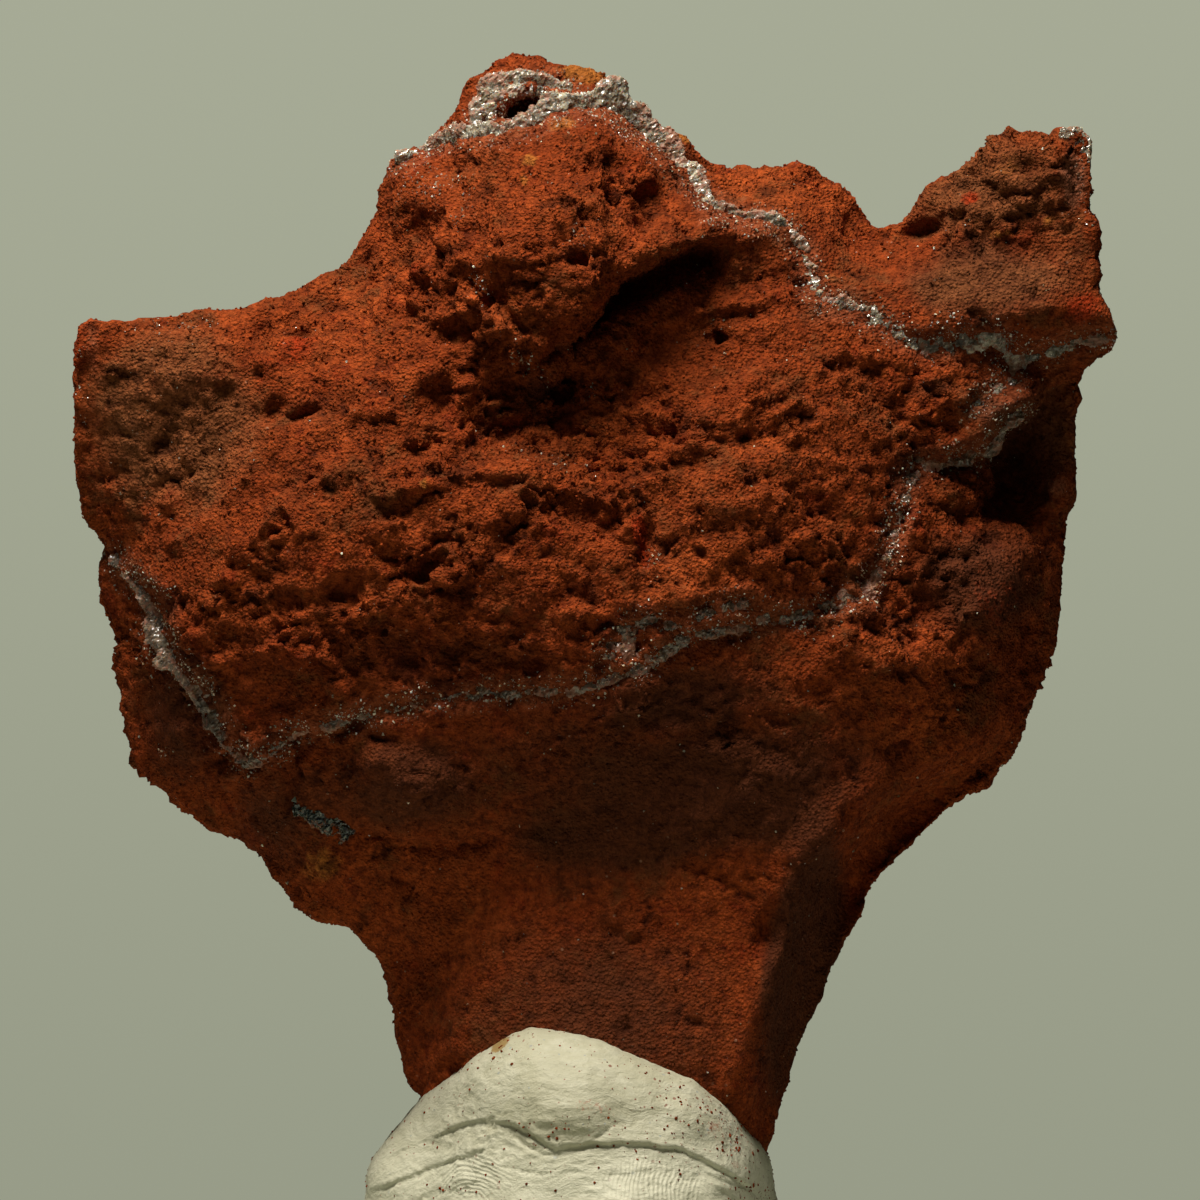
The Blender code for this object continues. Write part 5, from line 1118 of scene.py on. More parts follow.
@dataclass(frozen=True)
class PuttyFinish:
    """Pale greenish cream putty with finger prints, rubbed-in rock dust, fine specks and painted light
    towards the bottom.
    """

    cream: tuple = solid(0.51, 0.49, 0.36)
    shade: tuple = solid(0.42, 0.40, 0.275)
    rust: tuple = solid(0.19, 0.050, 0.026)
    rubbed: tuple = solid(0.36, 0.12, 0.07)
    slate: tuple = solid(0.32, 0.34, 0.31)
    torn: tuple = solid(0.30, 0.20, 0.075)
    # Painted light: a paler cream that the lower putty shifts towards.
    painted_lower_light: tuple = solid(0.68, 0.66, 0.50)
    roughness: float = 0.55

    def make(self) -> bpy.types.Material:
        """Build the material."""
        mat = Finish("pale_putty")
        broad = mat.noise(mat.place, 9.0, 3.0)
        fine = mat.noise(mat.place, 0.35, 3.0, 0.7)
        x, y, z = mat.split(mat.place)
        bend = (mat.noise(mat.place, 5.0, 2.0) - 0.5) * 4.0
        streak = mat.noise(mat.join(x * 0.5, y * 0.7, z * 1.3 + bend), 1.0, 5.0, 0.62)
        colour = mat.blend(mat.ramp(broad + (streak - 0.5) * 0.8, 0.35, 0.7), self.shade, self.cream)
        for size, share_low, pick_low in ((1.1, 0.15, 0.80), (0.5, 0.20, 0.86)):
            spot, spot_colour = mat.cells(mat.place, size)
            pick, warm, _ = mat.split(spot_colour)
            picked = mat.ramp(pick + mat.kept("dusty") * 0.3, pick_low, pick_low + 0.06)
            share = mat.ramp(spot, share_low + 0.04, share_low) * picked
            grit = mat.blend(mat.ramp(warm, 0.80, 0.84), self.rust, self.slate)
            colour = mat.blend(share * 0.8, colour, grit)
        smear = mat.ramp(mat.noise(mat.place, 0.6, 5.0, 0.85) * 2.4 + mat.kept("smear") * 0.7, 1.62, 1.8)
        colour = mat.blend(smear * 0.6, colour, self.rubbed)
        colour = mat.blend(mat.ramp(mat.kept("torn") + (fine - 0.5) * 1.2, 0.3, 0.7), colour, self.torn)
        wander = (mat.noise(mat.place, 4.0, 1.0) - 0.5) * 1.6
        rings = [mat.math("SQRT", (x - cx) ** 2.0 + (z - cz) ** 2.0) for cx, cz in (WHORL, THUMB)]
        ring = mat.ramp(x, -6.5, -6.0, 0.0, 1.0) * (rings[1] - rings[0]) + rings[0]
        ridge = mat.math("SINE", (ring + wander) * (math.tau / RIDGE_STEP))
        height = streak * 0.42 + fine * 0.16 + ridge * mat.kept("prints") * mat.ramp(fine, 0.3, 0.5) * 0.05
        # Painted light: paler below z 20, up to half way to the paler cream at z 15, to make up for the shade
        # there.
        colour = mat.blend(mat.ramp(z, 20.0, 15.0, 0.0, 0.5), colour, self.painted_lower_light)
        mat.set(Base_Color=colour, Roughness=self.roughness, Specular_IOR_Level=0.3)
        mat.set(Normal=mat.bump(height, 0.55))
        return mat.material


@dataclass
class Rock:
    """The red matrix: one skin with its pits, clods and grooves, and the crumbs that cling to it."""

    form: RockForm
    finish: bpy.types.Material
    grid: float = 0.8
    voxel: float = 0.33
    triangles: int = 196000
    lump_size: float = 7.0
    lump_height: float = 4.4
    clod_size: float = 2.7
    clod_height: float = 1.3
    grain_size: float = 1.3
    grain_height: float = 1.9
    pit_size: float = 3.4
    pit_depth: float = 1.2
    crumb_pieces: int = 4
    crumbs: float = 700000.0
    crumb_small: float = 0.09
    crumb_large: float = 0.22
    crumb_sink: float = 0.03
    skin: bpy.types.Object = field(init=False)

    def build(self) -> list[bpy.types.Object]:
        """Make the skin and the crumbs.

        Returns:
            The skin and the crumb pieces.
        """
        voxel = self.voxel
        skin = drawn_body("rock_skin", ROCK_OUTLINE, self.front, self.form.back, self.grid, voxel)
        self.mark(skin.data)
        Thing.grow(skin, self.relief_tree())
        Thing.thin_out(skin, self.triangles)
        self.skin = skin
        pieces = [skin]
        for seed in range(self.crumb_pieces):
            crumbs = Thing.link(f"rock_crumbs_{seed + 1}", skin.data.copy())
            Thing.grow(crumbs, self.crumb_tree(seed * 20))
            pieces.append(crumbs)
        return pieces

    def front(self, x: np.ndarray, z: np.ndarray) -> np.ndarray:
        """The front with a trough along each seam."""
        height = self.form.front(x, z)
        for path in (UPPER_SEAM, VUG_RING, SPUR_SEAM, LOWER_SEAM, LEFT_SEAM, CRYSTAL_BLOCK, HORN_TIP):
            away, _ = distance_to(x, z, path)
            height -= TROUGH_DEPTH * np.clip(1 - (away / TROUGH_HALF) ** 2, 0, 1)
        return height

    def mark(self, mesh: bpy.types.Mesh) -> None:
        """Keep for each point how rough the skin is and how each stain colours it."""
        points = Thing.points(mesh)
        x, z = points[:, 0], points[:, 2]
        facing = ramp(-Thing.normals(mesh)[:, 1], -0.5, 0.2)
        coarse = np.clip(smooth_field(ROCK_ROUGHNESS)(x, z), 0.15, 1.2)
        coarse = coarse * facing + BACK_COARSENESS * (1 - facing)
        Thing.note(mesh, "coarse", coarse)
        Thing.note(mesh, "combed", np.clip(forms(x, z, COMBED), 0, 1) * facing)
        Thing.note(mesh, "grains", coarse * (0.35 + 0.65 * facing))
        for name, table in STAINS.items():
            Thing.note(mesh, name, np.clip(forms(x, z, table), 0, 1) * facing)
        near = np.full(x.shape, 1e9)
        for path in (UPPER_SEAM, VUG_RING, SPUR_SEAM, LOWER_SEAM, LEFT_SEAM, CRYSTAL_BLOCK):
            near = np.minimum(near, distance_to(x, z, path)[0])
        Thing.note(mesh, "seam", ramp(-near, -SEAM_DUST_REACH, -0.5) * facing)
        strewn = np.clip(forms(x, z, SPARKLING) * 0.5, 0, 2) + ramp(-near, -2.2, -0.6) * SEAM_SPARKLES
        Thing.note(mesh, "sparkling", strewn * facing + SPARSE_SPARKLES)

    def relief_tree(self) -> bpy.types.NodeTree:
        """Lumps, clods, grains and pits pushed into the skin, and a mask of painted shade for how low each
        point ends up.
        """
        graph = GeometryTree("earthy_relief", {
            "Lump Size": self.lump_size, "Lump Height": self.lump_height, "Clod Size": self.clod_size,
            "Clod Height": self.clod_height, "Grain Size": self.grain_size, "Grain Height": self.grain_height,
            "Pit Size": self.pit_size, "Pit Depth": self.pit_depth,
        })
        place = graph.vector("MULTIPLY", graph.place(), BEDDING)
        feeds = {"Vector": place, "Scale": 0.45, "Detail": 3.0}
        wander = graph.node("ShaderNodeTexNoise", None, feeds).outputs[1]
        wander = graph.vector("SCALE", graph.vector("SUBTRACT", wander, (0.5, 0.5, 0.5)), 3.0)
        place = graph.vector("ADD", place, wander)
        feeds = {"Vector": place, "Scale": 0.9, "Detail": 3.0}
        ragged = graph.node("ShaderNodeTexNoise", None, feeds).outputs[1]
        ragged = graph.vector("SCALE", graph.vector("SUBTRACT", ragged, (0.5, 0.5, 0.5)), 2.2)
        uneven = graph.ramp(graph.noise(graph.place(), 9.0, 1.0), 0.36, 0.64, 0.45, 1.35)
        coarse = graph.kept("coarse") * uneven
        swell = (graph.noise(graph.place(), 15.0, 1.0) - 0.5) * graph.size("Lump Height") * 0.9
        lumps = graph.noise(graph.scaled(place, "Lump Size"), 1.0, 6.0, 0.68)
        lumps = (lumps - 0.5) * graph.size("Lump Height")
        clods = self.cobbles(graph, graph.vector("ADD", place, ragged), "Clod")
        grains = graph.noise(graph.scaled(place, "Grain Size"), 1.0, 3.0, 0.75)
        grains = (grains - 0.5) * graph.size("Grain Height")
        pits = self.pits(graph, place, 0.8, 0.60) + self.pits(graph, place, 0.32, 0.57) * 0.4
        rise = (lumps + clods - pits) * coarse + grains * (coarse * 0.95 + 0.05)
        rise = rise + swell * graph.kept("coarse")
        rise = rise + self.combing(graph, place)
        skin = graph.push(graph.geometry, rise)
        # Painted shade mask: how low each point of the pushed relief ends up, for the material to darken.
        painted_hollow_shade = graph.ramp((clods + grains * 0.8 + lumps * 0.4) * coarse - pits * 1.2, 0.2, -1.1)
        return graph.finish(graph.keep(skin, "painted_hollow_shade", painted_hollow_shade), self.finish, smooth=True)

    def combing(self, graph: GeometryTree, place: Feed) -> Signal:
        """Fine ridges that run up to the right."""
        x, y, z = graph.split(place)
        along = x * math.cos(COMB_TURN) + z * math.sin(COMB_TURN)
        across = z * math.cos(COMB_TURN) - x * math.sin(COMB_TURN)
        ridges = graph.noise(graph.join(along / 6.0, y / 6.0, across / 1.5), 1.0, 2.0, 0.6) - 0.5
        return ridges * 2.6 * graph.kept("combed")

    def cobbles(self, graph: GeometryTree, place: Feed, kind: str) -> Signal:
        """Rounded bumps of many sizes with narrow valleys between them."""
        middle, colour = graph.cells(graph.scaled(place, f"{kind} Size"), 1.0)
        proud, _, _ = graph.split(colour)
        return (0.35 - middle + proud * 0.5 - 0.15) * graph.size(f"{kind} Height")

    def pits(self, graph: GeometryTree, place: Feed, scale: float, start: float) -> Signal:
        """Ragged pits with steep sides where a noise is high."""
        shrunk = graph.vector("SCALE", graph.scaled(place, "Pit Size"), 1 / scale)
        level = graph.noise(graph.vector("ADD", shrunk, (31.0, 17.0, 5.0)), 1.0, 3.0, 0.6)
        return graph.ramp(level, start, start + 0.1) * graph.size("Pit Depth")

    def crumb_tree(self, seed: int) -> bpy.types.NodeTree:
        """Loose-looking grains scattered over the skin, more where it is coarse."""
        graph = GeometryTree("clinging_crumbs", {
            "Crumbs": self.crumbs, "Small": self.crumb_small * MM, "Large": self.crumb_large * MM,
            "Sink": self.crumb_sink * MM,
        })
        density = graph.size("Crumbs") * graph.kept("grains")
        feeds = {"Mesh": graph.geometry, "Density": density, "Seed": seed}
        spread = graph.node("GeometryNodeDistributePointsOnFaces", None, feeds)
        down = graph.vector("SCALE", spread.outputs["Normal"], graph.size("Sink") * -1.0)
        feeds = {"Geometry": spread.outputs[0], "Offset": down}
        sunk = graph.node("GeometryNodeSetPosition", None, feeds).outputs[0]
        crumb = graph.node("GeometryNodeMeshCone", None, {
            "Vertices": 5, "Radius Top": 0.6, "Radius Bottom": 1.0, "Depth": 1.3,
        }).outputs[0]
        size = graph.chance(0.0, 1.0, seed + 1) ** 2.2 * (graph.size("Large") - graph.size("Small"))
        shape = graph.chance_vector((0.8, 0.8, 0.7), (1.2, 1.2, 1.1), seed + 2)
        feeds = {
            "Points": sunk, "Instance": crumb,
            "Rotation": graph.chance_vector((0.0, 0.0, 0.0), (math.tau, math.tau, math.tau), seed + 3),
            "Scale": graph.vector("SCALE", shape, size + graph.size("Small")),
        }
        crumbs = graph.node("GeometryNodeInstanceOnPoints", None, feeds).outputs[0]
        return graph.finish(crumbs, self.finish, smooth=False)


@dataclass
class CrystalSeam:
    """Calcite crystals grown together along some paths in the rock."""

    name: str
    node: str
    paths: list[Path]
    finish: bpy.types.Material
    seed: int
    crystals: float = 17.0e6
    small: float = 0.08
    large: float = 0.42
    sink: float = 0.10
    step: float = 0.5
    fullness: float = 1.15
    unevenness: float = 0.9

    def build(self, rock: Rock) -> bpy.types.Object:
        """Make the seam on the rock's skin.

        Args:
            rock: The rock that the seam runs through.

        Returns:
            The seam as one piece.
        """
        tree = BVHTree.FromObject(rock.skin, bpy.context.evaluated_depsgraph_get())
        bm = bmesh.new()
        for path in self.paths:
            self.bar(bm, self.route(path, tree, rock.form))
        mesh = bpy.data.meshes.new(self.name)
        bm.to_mesh(mesh)
        bm.free()
        seam = Thing.link(self.name, mesh)
        Thing.remesh(seam, SEAM_VOXEL)
        self.mark_rim(seam.data)
        Thing.grow(seam, self.crystal_tree())
        return seam

    def mark_rim(self, mesh: bpy.types.Mesh) -> None:
        """Keep for each point how near it is to the seam's edge: 0 on its middle line, 1 at the edge."""
        points = Thing.points(mesh)
        rim = np.full(len(points), 9.0)
        for path in self.paths:
            pairs = zip(path, path[1:])
            stops = np.array([stop for start, end in pairs for stop in self.between(start, end)])
            away = np.hypot(points[:, None, 0] - stops[None, :, 0], points[:, None, 2] - stops[None, :, 1])
            rim = np.minimum(rim, (away / (0.5 * stops[None, :, 2])).min(axis=1))
        Thing.note(mesh, "rim", np.clip(rim, 0, 1.5) ** 2)

    def route(self, path: Path, tree: BVHTree, form: RockForm) -> Path:
        """The path on the skin: x, y, z and width of each stop, with an uneven width."""
        stops = [stop for start, end in zip(path, path[1:]) for stop in self.between(start, end)] + [path[-1]]
        depths = []
        for x, z, _ in stops:
            hit = tree.ray_cast(Vector((x * MM, -0.2, z * MM)), Vector((0, 1, 0)))[0]
            depths.append(-float(form.front(np.array([x]), np.array([z]))[0]) if hit is None else hit.y / MM)
        route = []
        for k, (x, z, width) in enumerate(stops):
            near = depths[max(0, k - 2) : k + 3]
            swell = noise.fractal(Vector((x, z, self.seed)) * 0.35, 1.0, 2.0, 3)
            width *= max(0.25, self.fullness + self.unevenness * swell)
            route.append((x, sum(near) / len(near), z, width))
        return route

    def between(self, start: Row, end: Row) -> Iterator[Row]:
        """Stops from one point of a path up to the next."""
        count = max(1, round(math.hypot(end[0] - start[0], end[1] - start[1]) / self.step))
        for k in range(count):
            yield tuple(a + (b - a) * k / count for a, b in zip(start, end))

    def bar(self, bm: bmesh.types.BMesh, route: Path) -> None:
        """Add a flattened bar along the route, sunk in the skin and as wide as the seam."""
        curve = bpy.data.curves.new(self.name, "CURVE")
        curve.dimensions = "3D"
        curve.bevel_depth = MM
        curve.bevel_resolution = 2
        curve.use_fill_caps = True
        spline = curve.splines.new("POLY")
        spline.points.add(len(route) - 1)
        for point, (x, _, z, width) in zip(spline.points, route):
            point.co = (x * MM, 0.0, z * MM, 1.0)
            point.radius = 0.5 * width
        guide = Thing.link(self.name, curve)
        bpy.context.view_layer.update()
        graph = bpy.context.evaluated_depsgraph_get()
        mesh = bpy.data.meshes.new_from_object(guide.evaluated_get(graph))
        bpy.data.objects.remove(guide, do_unlink=True)
        points = Thing.points(mesh)
        stops = np.array(route)
        away = np.hypot(points[:, None, 0] - stops[None, :, 0], points[:, None, 2] - stops[None, :, 2])
        share = np.exp(-((away / SEAM_EVENING) ** 2))
        share /= share.sum(axis=1, keepdims=True)
        points[:, 1] = points[:, 1] * SEAM_FLATNESS + share @ (stops[:, 1] + SEAM_SINK * stops[:, 3])
        Thing.move(mesh, points)
        bm.from_mesh(mesh)
        bpy.data.meshes.remove(mesh)
        bmesh.ops.remove_doubles(bm, verts=bm.verts, dist=0.00001)

    def crystal_tree(self) -> bpy.types.NodeTree:
        """A rough crust and the crystals that stand on it: cleavage rhombs and a few six-sided points."""
        graph = GeometryTree(f"{self.name}_growth", {
            "Crystals": self.crystals, "Small": self.small * MM, "Large": self.large * MM,
            "Sink": self.sink * MM,
        })
        rough = (graph.noise(graph.place(), 1.4, 5.0, 0.75) - 0.46) * 1.7
        crust = graph.push(graph.geometry, rough)
        crust = graph.keep(crust, "tone", graph.noise(graph.place(), 0.9, 2.0) - 0.1)
        feeds = {"Mesh": crust, "Density": graph.size("Crystals"), "Seed": self.seed}
        spread = graph.node("GeometryNodeDistributePointsOnFaces", None, feeds)
        down = graph.vector("SCALE", spread.outputs["Normal"], graph.size("Sink") * -1.0)
        feeds = {"Geometry": spread.outputs[0], "Offset": down}
        sunk = graph.node("GeometryNodeSetPosition", None, feeds).outputs[0]
        shapes = graph.node("GeometryNodeGeometryToInstance")
        for shape in (self.point(graph), self.rhomb(graph), self.rhomb(graph), *[self.shard(graph)] * 3):
            graph.tree.links.new(shape, shapes.inputs[0])
        size = graph.chance(0.0, 1.0, self.seed + 1) ** 2.2 * (graph.size("Large") - graph.size("Small"))
        size = size + graph.size("Small")
        stretch = graph.chance_vector((0.5, 0.6, 0.6), (1.1, 1.2, 1.5), self.seed + 2)
        scale = graph.vector("SCALE", stretch, size)
        tilt = graph.chance_vector((-1.3, -1.3, 0.0), (1.3, 1.3, math.tau), self.seed + 3)
        feeds = {0: spread.outputs["Rotation"], 1: tilt}
        turn = graph.node("FunctionNodeRotateRotation", {"rotation_space": "LOCAL"}, feeds).outputs[0]
        pick = graph.node("FunctionNodeRandomValue", {"data_type": "INT"}, {4: 0, 5: 5, 8: self.seed + 5})
        feeds = {
            "Points": sunk, "Instance": shapes.outputs[0], "Pick Instance": True,
            "Instance Index": pick.outputs[2], "Rotation": turn, "Scale": scale,
        }
        grown = graph.node("GeometryNodeInstanceOnPoints", None, feeds).outputs[0]
        grown = graph.keep(grown, "tone", graph.chance(0.0, 1.0, self.seed + 4), "INSTANCE")
        joined = graph.node("GeometryNodeJoinGeometry")
        graph.tree.links.new(crust, joined.inputs[0])
        graph.tree.links.new(grown, joined.inputs[0])
        return graph.finish(joined.outputs[0], self.finish, smooth=False)

    def rhomb(self, graph: GeometryTree) -> bpy.types.NodeSocket:
        """One cleavage rhomb: a cube stood on its corner and squashed."""
        cube = graph.node("GeometryNodeMeshCube", None, {"Size": (0.72, 0.72, 0.72)}).outputs[0]
        feeds = {0: cube, "Rotation": (0, 0, -math.radians(45))}
        spun = graph.node("GeometryNodeTransform", None, feeds).outputs[0]
        feeds = {0: spun, "Rotation": (0, -CORNER_TILT, 0)}
        stood = graph.node("GeometryNodeTransform", None, feeds).outputs[0]
        feeds = {0: stood, "Scale": (1, 1, CALCITE_SQUASH)}
        return graph.node("GeometryNodeTransform", None, feeds).outputs[0]

    def shard(self, graph: GeometryTree) -> bpy.types.NodeSocket:
        """One corner of a rhomb that stands out of the crust."""
        feeds = {"Vertices": 3, "Radius Top": 0.0, "Radius Bottom": 0.56, "Depth": 0.62}
        return graph.node("GeometryNodeMeshCone", None, feeds).outputs[0]

    def point(self, graph: GeometryTree) -> bpy.types.NodeSocket:
        """One six-sided pointed crystal."""
        feeds = {"Vertices": 6, "Radius Top": 0.06, "Radius Bottom": 0.30, "Depth": 0.8}
        cone = graph.node("GeometryNodeMeshCone", None, feeds).outputs[0]
        return graph.node("GeometryNodeTransform", None, {0: cone, "Translation": (0, 0, -0.25)}).outputs[0]


@dataclass
class Sparkles:
    """Tiny crystals strewn over the rock, thickest beside the seams."""

    finish: bpy.types.Material
    count: float = 26.0e6
    small: float = 0.05
    large: float = 0.26

    def build(self, rock: Rock) -> bpy.types.Object:
        """Make the crystals on the rock's skin."""
        sparkles = Thing.link("calcite_sparkles", rock.skin.data.copy())
        Thing.grow(sparkles, self.scatter_tree())
        return sparkles

    def scatter_tree(self) -> bpy.types.NodeTree:
        """Squashed cubes turned at random, half sunk in the skin."""
        graph = GeometryTree("strewn_crystals", {
            "Count": self.count, "Small": self.small * MM, "Large": self.large * MM,
        })
        clump = graph.ramp(graph.noise(graph.place(), 1.6, 2.0), 0.45, 0.62, 0.1, 1.0)
        density = graph.size("Count") * graph.kept("sparkling") * clump
        feeds = {"Mesh": graph.geometry, "Density": density, "Seed": 9}
        spread = graph.node("GeometryNodeDistributePointsOnFaces", None, feeds)
        cube = graph.node("GeometryNodeMeshCube", None, {"Size": (1.0, 1.0, CALCITE_SQUASH)}).outputs[0]
        size = graph.chance(0.0, 1.0, 11) ** 3.0 * (graph.size("Large") - graph.size("Small"))
        size = size + graph.size("Small")
        feeds = {
            "Points": spread.outputs[0], "Instance": cube,
            "Rotation": graph.chance_vector((0.0, 0.0, 0.0), (math.tau, math.tau, math.tau), 12),
            "Scale": graph.vector("SCALE", graph.chance_vector((0.6, 0.6, 0.6), (1.3, 1.1, 1.1), 13), size),
        }
        grown = graph.node("GeometryNodeInstanceOnPoints", None, feeds).outputs[0]
        grown = graph.keep(grown, "tone", graph.chance(0.15, 0.9, 14), "INSTANCE")
        return graph.finish(grown, self.finish, smooth=False)


@dataclass
class Putty:
    """The lump of putty that holds the rock up."""

    form: PuttyForm
    finish: bpy.types.Material
    crumb_finish: bpy.types.Material
    grid: float = 0.6
    voxel: float = 0.24
    triangles: int = 194000
    dent_size: float = 3.2
    dent_depth: float = 0.3
    crease_depth: float = 0.24

    def build(self) -> list[bpy.types.Object]:
        """Make the lump and the crumbs of rock stuck to it."""
        lump = drawn_body("putty_lump", PUTTY_OUTLINE, self.form.front, self.form.back, self.grid, self.voxel)
        self.cut_flat(lump.data)
        points = Thing.points(lump.data)
        x, z = points[:, 0].copy(), points[:, 2].copy()
        in_front = ramp(-points[:, 1], -2.0, 4.0)
        points[:, 1] -= self.form.folds(x, z) * in_front
        Thing.move(lump.data, points)
        for name, table, elsewhere in (
            ("dusty", PUTTY_DUST, 0.3), ("stretch", PUTTY_STRETCH, 0.5), ("prints", PUTTY_PRINTS, 0.0),
            ("smear", PUTTY_SMEAR, 0.0), ("torn", PUTTY_TORN, 0.0),
        ):
            marked = np.clip(forms(x, z, table), 0, 1)
            Thing.note(lump.data, name, marked * in_front + elsewhere * (1 - in_front))
        Thing.grow(lump, self.dent_tree())
        Thing.thin_out(lump, self.triangles)
        crumbs = Thing.link("putty_specks", lump.data.copy())
        Thing.grow(crumbs, self.speck_tree())
        return [lump, crumbs]

    def cut_flat(self, mesh: bpy.types.Mesh) -> None:
        """Cut the lump off flat at the table."""
        bm = bmesh.new()
        bm.from_mesh(mesh)
        everything = list(bm.verts) + list(bm.edges) + list(bm.faces)
        result = bmesh.ops.bisect_plane(
            bm, geom=everything, dist=0.000001, plane_co=(0, 0, 0), plane_no=(0, 0, -1), clear_outer=True
        )
        rim = [edge for edge in result["geom_cut"] if isinstance(edge, bmesh.types.BMEdge)]
        bmesh.ops.contextual_create(bm, geom=rim)
        bmesh.ops.triangulate(bm, faces=[face for face in bm.faces if len(face.verts) > 4])
        bmesh.ops.recalc_face_normals(bm, faces=bm.faces)
        bm.to_mesh(mesh)
        bm.free()

    def dent_tree(self) -> bpy.types.NodeTree:
        """Soft dents and fine creases from kneading."""
        graph = GeometryTree("kneaded_skin", {
            "Dent Size": self.dent_size, "Dent Depth": self.dent_depth, "Crease Depth": self.crease_depth,
        })
        place = graph.place()
        dents = graph.noise(graph.scaled(place, "Dent Size"), 1.0, 3.0, 0.6)
        dents = (dents - 0.5) * 2.0 * graph.size("Dent Depth")
        x, y, z = graph.split(place)
        bend = (graph.noise(place, 6.0, 2.0) - 0.5) * 5.0
        layers = graph.noise(graph.join(x * 0.16, y * 0.3, z * 0.95 + bend), 1.0, 4.0, 0.62)
        crease = graph.ramp(graph.math("ABSOLUTE", layers - 0.5), 0.035, 0.0)
        second = graph.noise(graph.join(x * 0.3 + 7.0, y * 0.5, z * 1.9 + bend * 2.0), 1.0, 3.0, 0.6)
        crease = crease * 0.6 + graph.ramp(graph.math("ABSOLUTE", second - 0.5), 0.03, 0.0) * 0.4
        crease = crease * graph.ramp(graph.noise(place, 3.0, 2.0), 0.42, 0.62)
        rise = dents - crease * graph.kept("stretch") * graph.size("Crease Depth")
        rise = rise + (layers - 0.5) * 0.8 * graph.kept("stretch")
        kneaded = graph.push(graph.geometry, rise * graph.ramp(z, 0.05, 1.5))
        return graph.finish(kneaded, self.finish, smooth=True)

    def speck_tree(self) -> bpy.types.NodeTree:
        """Crumbs of red rock stuck in the putty."""
        graph = GeometryTree("stuck_crumbs", {"Specks": 5.0e6, "Small": 0.04 * MM, "Large": 0.22 * MM})
        clump = graph.ramp(graph.noise(graph.place(), 3.0, 2.0), 0.45, 0.65, 0.25, 1.0)
        above = graph.ramp(graph.split(graph.place())[2], 0.6, 1.2)
        density = graph.size("Specks") * (graph.kept("dusty") + 0.12) * clump * above
        feeds = {"Mesh": graph.geometry, "Density": density, "Seed": 2}
        spread = graph.node("GeometryNodeDistributePointsOnFaces", None, feeds)
        crumb = graph.node("GeometryNodeMeshIcoSphere", None, {"Radius": 1.0, "Subdivisions": 1}).outputs[0]
        ragged = graph.noise(graph.node("GeometryNodeInputPosition").outputs[0], 0.6, 1.0) - 0.5
        crumb = graph.push(crumb, ragged * (1.1 / MM))
        size = graph.chance(0.0, 1.0, 3) ** 4.0 * (graph.size("Large") - graph.size("Small"))
        size = size + graph.size("Small")
        feeds = {
            "Points": spread.outputs[0], "Instance": crumb,
            "Rotation": graph.chance_vector((0.0, 0.0, 0.0), (math.tau, math.tau, math.tau), 7),
            "Scale": graph.vector("SCALE", graph.chance_vector((0.7, 0.7, 0.5), (1.4, 1.0, 0.9), 5), size),
        }
        crumbs = graph.node("GeometryNodeInstanceOnPoints", None, feeds).outputs[0]
        return graph.finish(crumbs, self.crumb_finish, smooth=False)


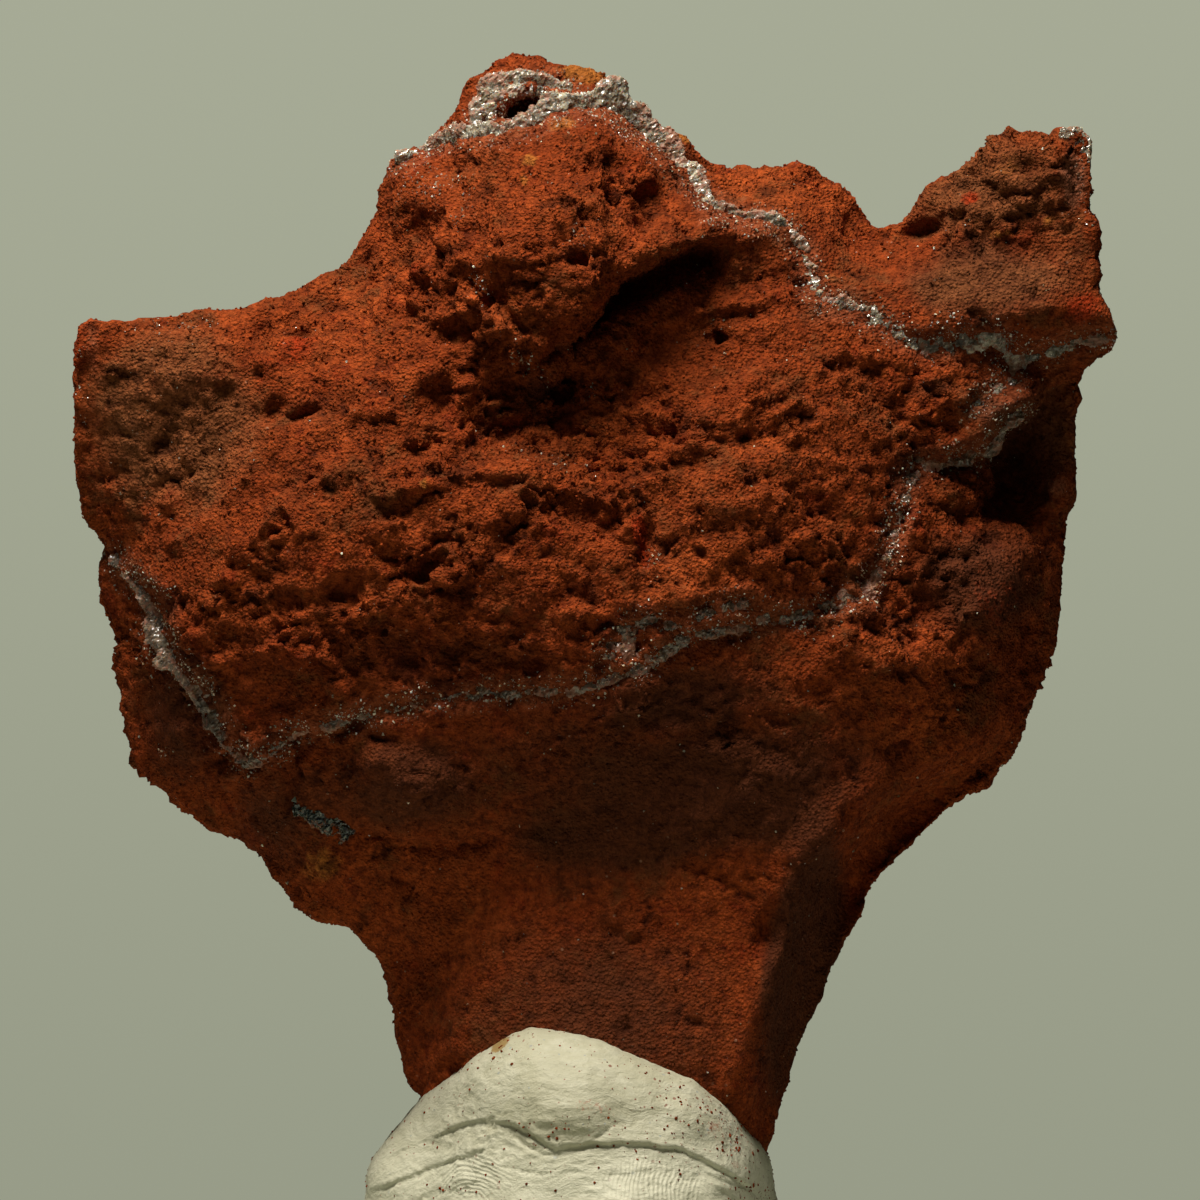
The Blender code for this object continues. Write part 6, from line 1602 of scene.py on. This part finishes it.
@dataclass
class Studio:
    """Camera, soft light, pale floor and the plain grey-green room around them."""

    camera_distance: float = 1.5
    view_width: float = 0.12
    view_centre: float = 0.072
    sensor: float = 36.0
    floor_radius: float = 0.19
    room_low: tuple = solid(0.312, 0.330, 0.246)
    room_high: tuple = solid(0.385, 0.405, 0.305)
    room_fill: float = 0.035

    def build(self) -> None:
        """Make everything that isn't part of the specimen."""
        scene = bpy.context.scene
        scene.view_settings.view_transform = "Standard"
        camera = bpy.data.objects.new("camera", bpy.data.cameras.new("camera"))
        camera.data.sensor_width = self.sensor
        camera.data.lens = self.sensor * self.camera_distance / self.view_width
        camera.location = (0.0, -self.camera_distance, self.view_centre)
        camera.rotation_euler = (math.radians(90), 0.0, 0.0)
        scene.collection.objects.link(camera)
        scene.camera = camera
        self.lamp("key", (-0.09, -0.14, 0.51), 0.24, 0.15, 4.35, (1.0, 0.96, 0.88))
        self.lamp("front_fill", (-0.30, -0.90, 0.32), 0.5, 0.5, 0.15, (0.97, 1.0, 0.96))
        self.room(scene)
        self.floor()

    def lamp(self, name: str, place: tuple, width: float, height: float, power: float, colour: tuple) -> None:
        """A soft light that faces the middle of the specimen."""
        light = bpy.data.lights.new(name, "AREA")
        light.shape = "RECTANGLE"
        light.size = width
        light.size_y = height
        light.energy = power
        light.color = colour
        lamp = bpy.data.objects.new(name, light)
        lamp.location = place
        aim = Vector((0.0, 0.0, self.view_centre)) - Vector(place)
        lamp.rotation_euler = aim.to_track_quat("-Z", "Y").to_euler()
        bpy.context.scene.collection.objects.link(lamp)

    def room(self, scene: bpy.types.Scene) -> None:
        """A plain backdrop all round, which gives only a little light."""
        world = bpy.data.worlds.new("room")
        world.use_nodes = True
        scene.world = world
        graph = Graph(world.node_tree)
        height = graph.split(graph.node("ShaderNodeTexCoord").outputs["Generated"])[2]
        colour = graph.blend(graph.ramp(height, -0.05, 0.05), self.room_low, self.room_high)
        seen = graph.node("ShaderNodeLightPath").outputs["Is Camera Ray"]
        strength = graph.ramp(seen, 0.0, 1.0, self.room_fill, 1.0)
        backdrop = graph.node("ShaderNodeBackground", None, {"Color": colour, "Strength": strength})
        graph.node("ShaderNodeOutputWorld", None, {"Surface": backdrop.outputs[0]})

    def floor(self) -> None:
        """A pale round of card under the specimen."""
        bm = bmesh.new()
        bmesh.ops.create_circle(bm, cap_ends=True, radius=self.floor_radius, segments=96)
        mesh = bpy.data.meshes.new("floor")
        bm.to_mesh(mesh)
        bm.free()
        floor = Thing.link("floor", mesh)
        mat = Finish("pale_card")
        mat.set(Base_Color=solid(0.36, 0.38, 0.31), Roughness=0.8)
        mesh.materials.append(mat.material)


def main() -> None:
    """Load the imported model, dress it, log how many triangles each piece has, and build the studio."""
    logging.basicConfig(level=logging.INFO, format="%(name)s: %(message)s")
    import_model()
    form = RockForm()
    earth = RockFinish().make()
    rock = Rock(form, earth)
    pieces = [(piece, Slot.ROCK) for piece in rock.build()]
    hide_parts("matrix")

    calcite = CalciteFinish(dustiness=0.0).make()
    dusty_calcite = CalciteFinish(
        "dusty_calcite", dustiness=0.04, clearness=0.35, grey=solid(0.17, 0.115, 0.08),
        milk=solid(0.56, 0.40, 0.28),
    ).make()
    druse = CalciteFinish(
        "dark_druse", grey=solid(0.02, 0.025, 0.02), milk=solid(0.12, 0.14, 0.11),
        pink=solid(0.05, 0.05, 0.04),
    ).make()
    for seam in (
        CrystalSeam(
            "upper_seam", "calcite_vein_upper", [UPPER_SEAM, VUG_RING, VUG_LINING, SPUR_SEAM], calcite, 20,
        ),
        CrystalSeam(
            "lower_seam", "calcite_vein_lower", [LOWER_SEAM, LEFT_SEAM, CRYSTAL_BLOCK], dusty_calcite, 40,
            fullness=1.1, unevenness=1.0,
        ),
        CrystalSeam("horn_tip_crystals", "calcite_horn_tip", [HORN_TIP], calcite, 60),
        CrystalSeam(
            "dark_druse_crystals", "calcite_dark_druse", [DARK_DRUSE], druse, 80, small=0.2, large=0.7,
        ),
    ):
        piece = seam.build(rock)
        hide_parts(seam.node)
        pieces.append((piece, Slot.CALCITE))

    pieces.append((Sparkles(calcite).build(rock), Slot.CALCITE))
    putty = Putty(PuttyForm(form), PuttyFinish().make(), earth)
    lump, specks = putty.build()
    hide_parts("mounting_putty")
    pieces += [(lump, Slot.PUTTY), (specks, Slot.ROCK)]
    for piece, slot in pieces:
        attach(piece, "root")
        piece.data.calc_loop_triangles()
        LOG.info("%s: %d triangles", piece.name, len(piece.data.loop_triangles))

    Studio().build()


if __name__ == "__main__":
    main()
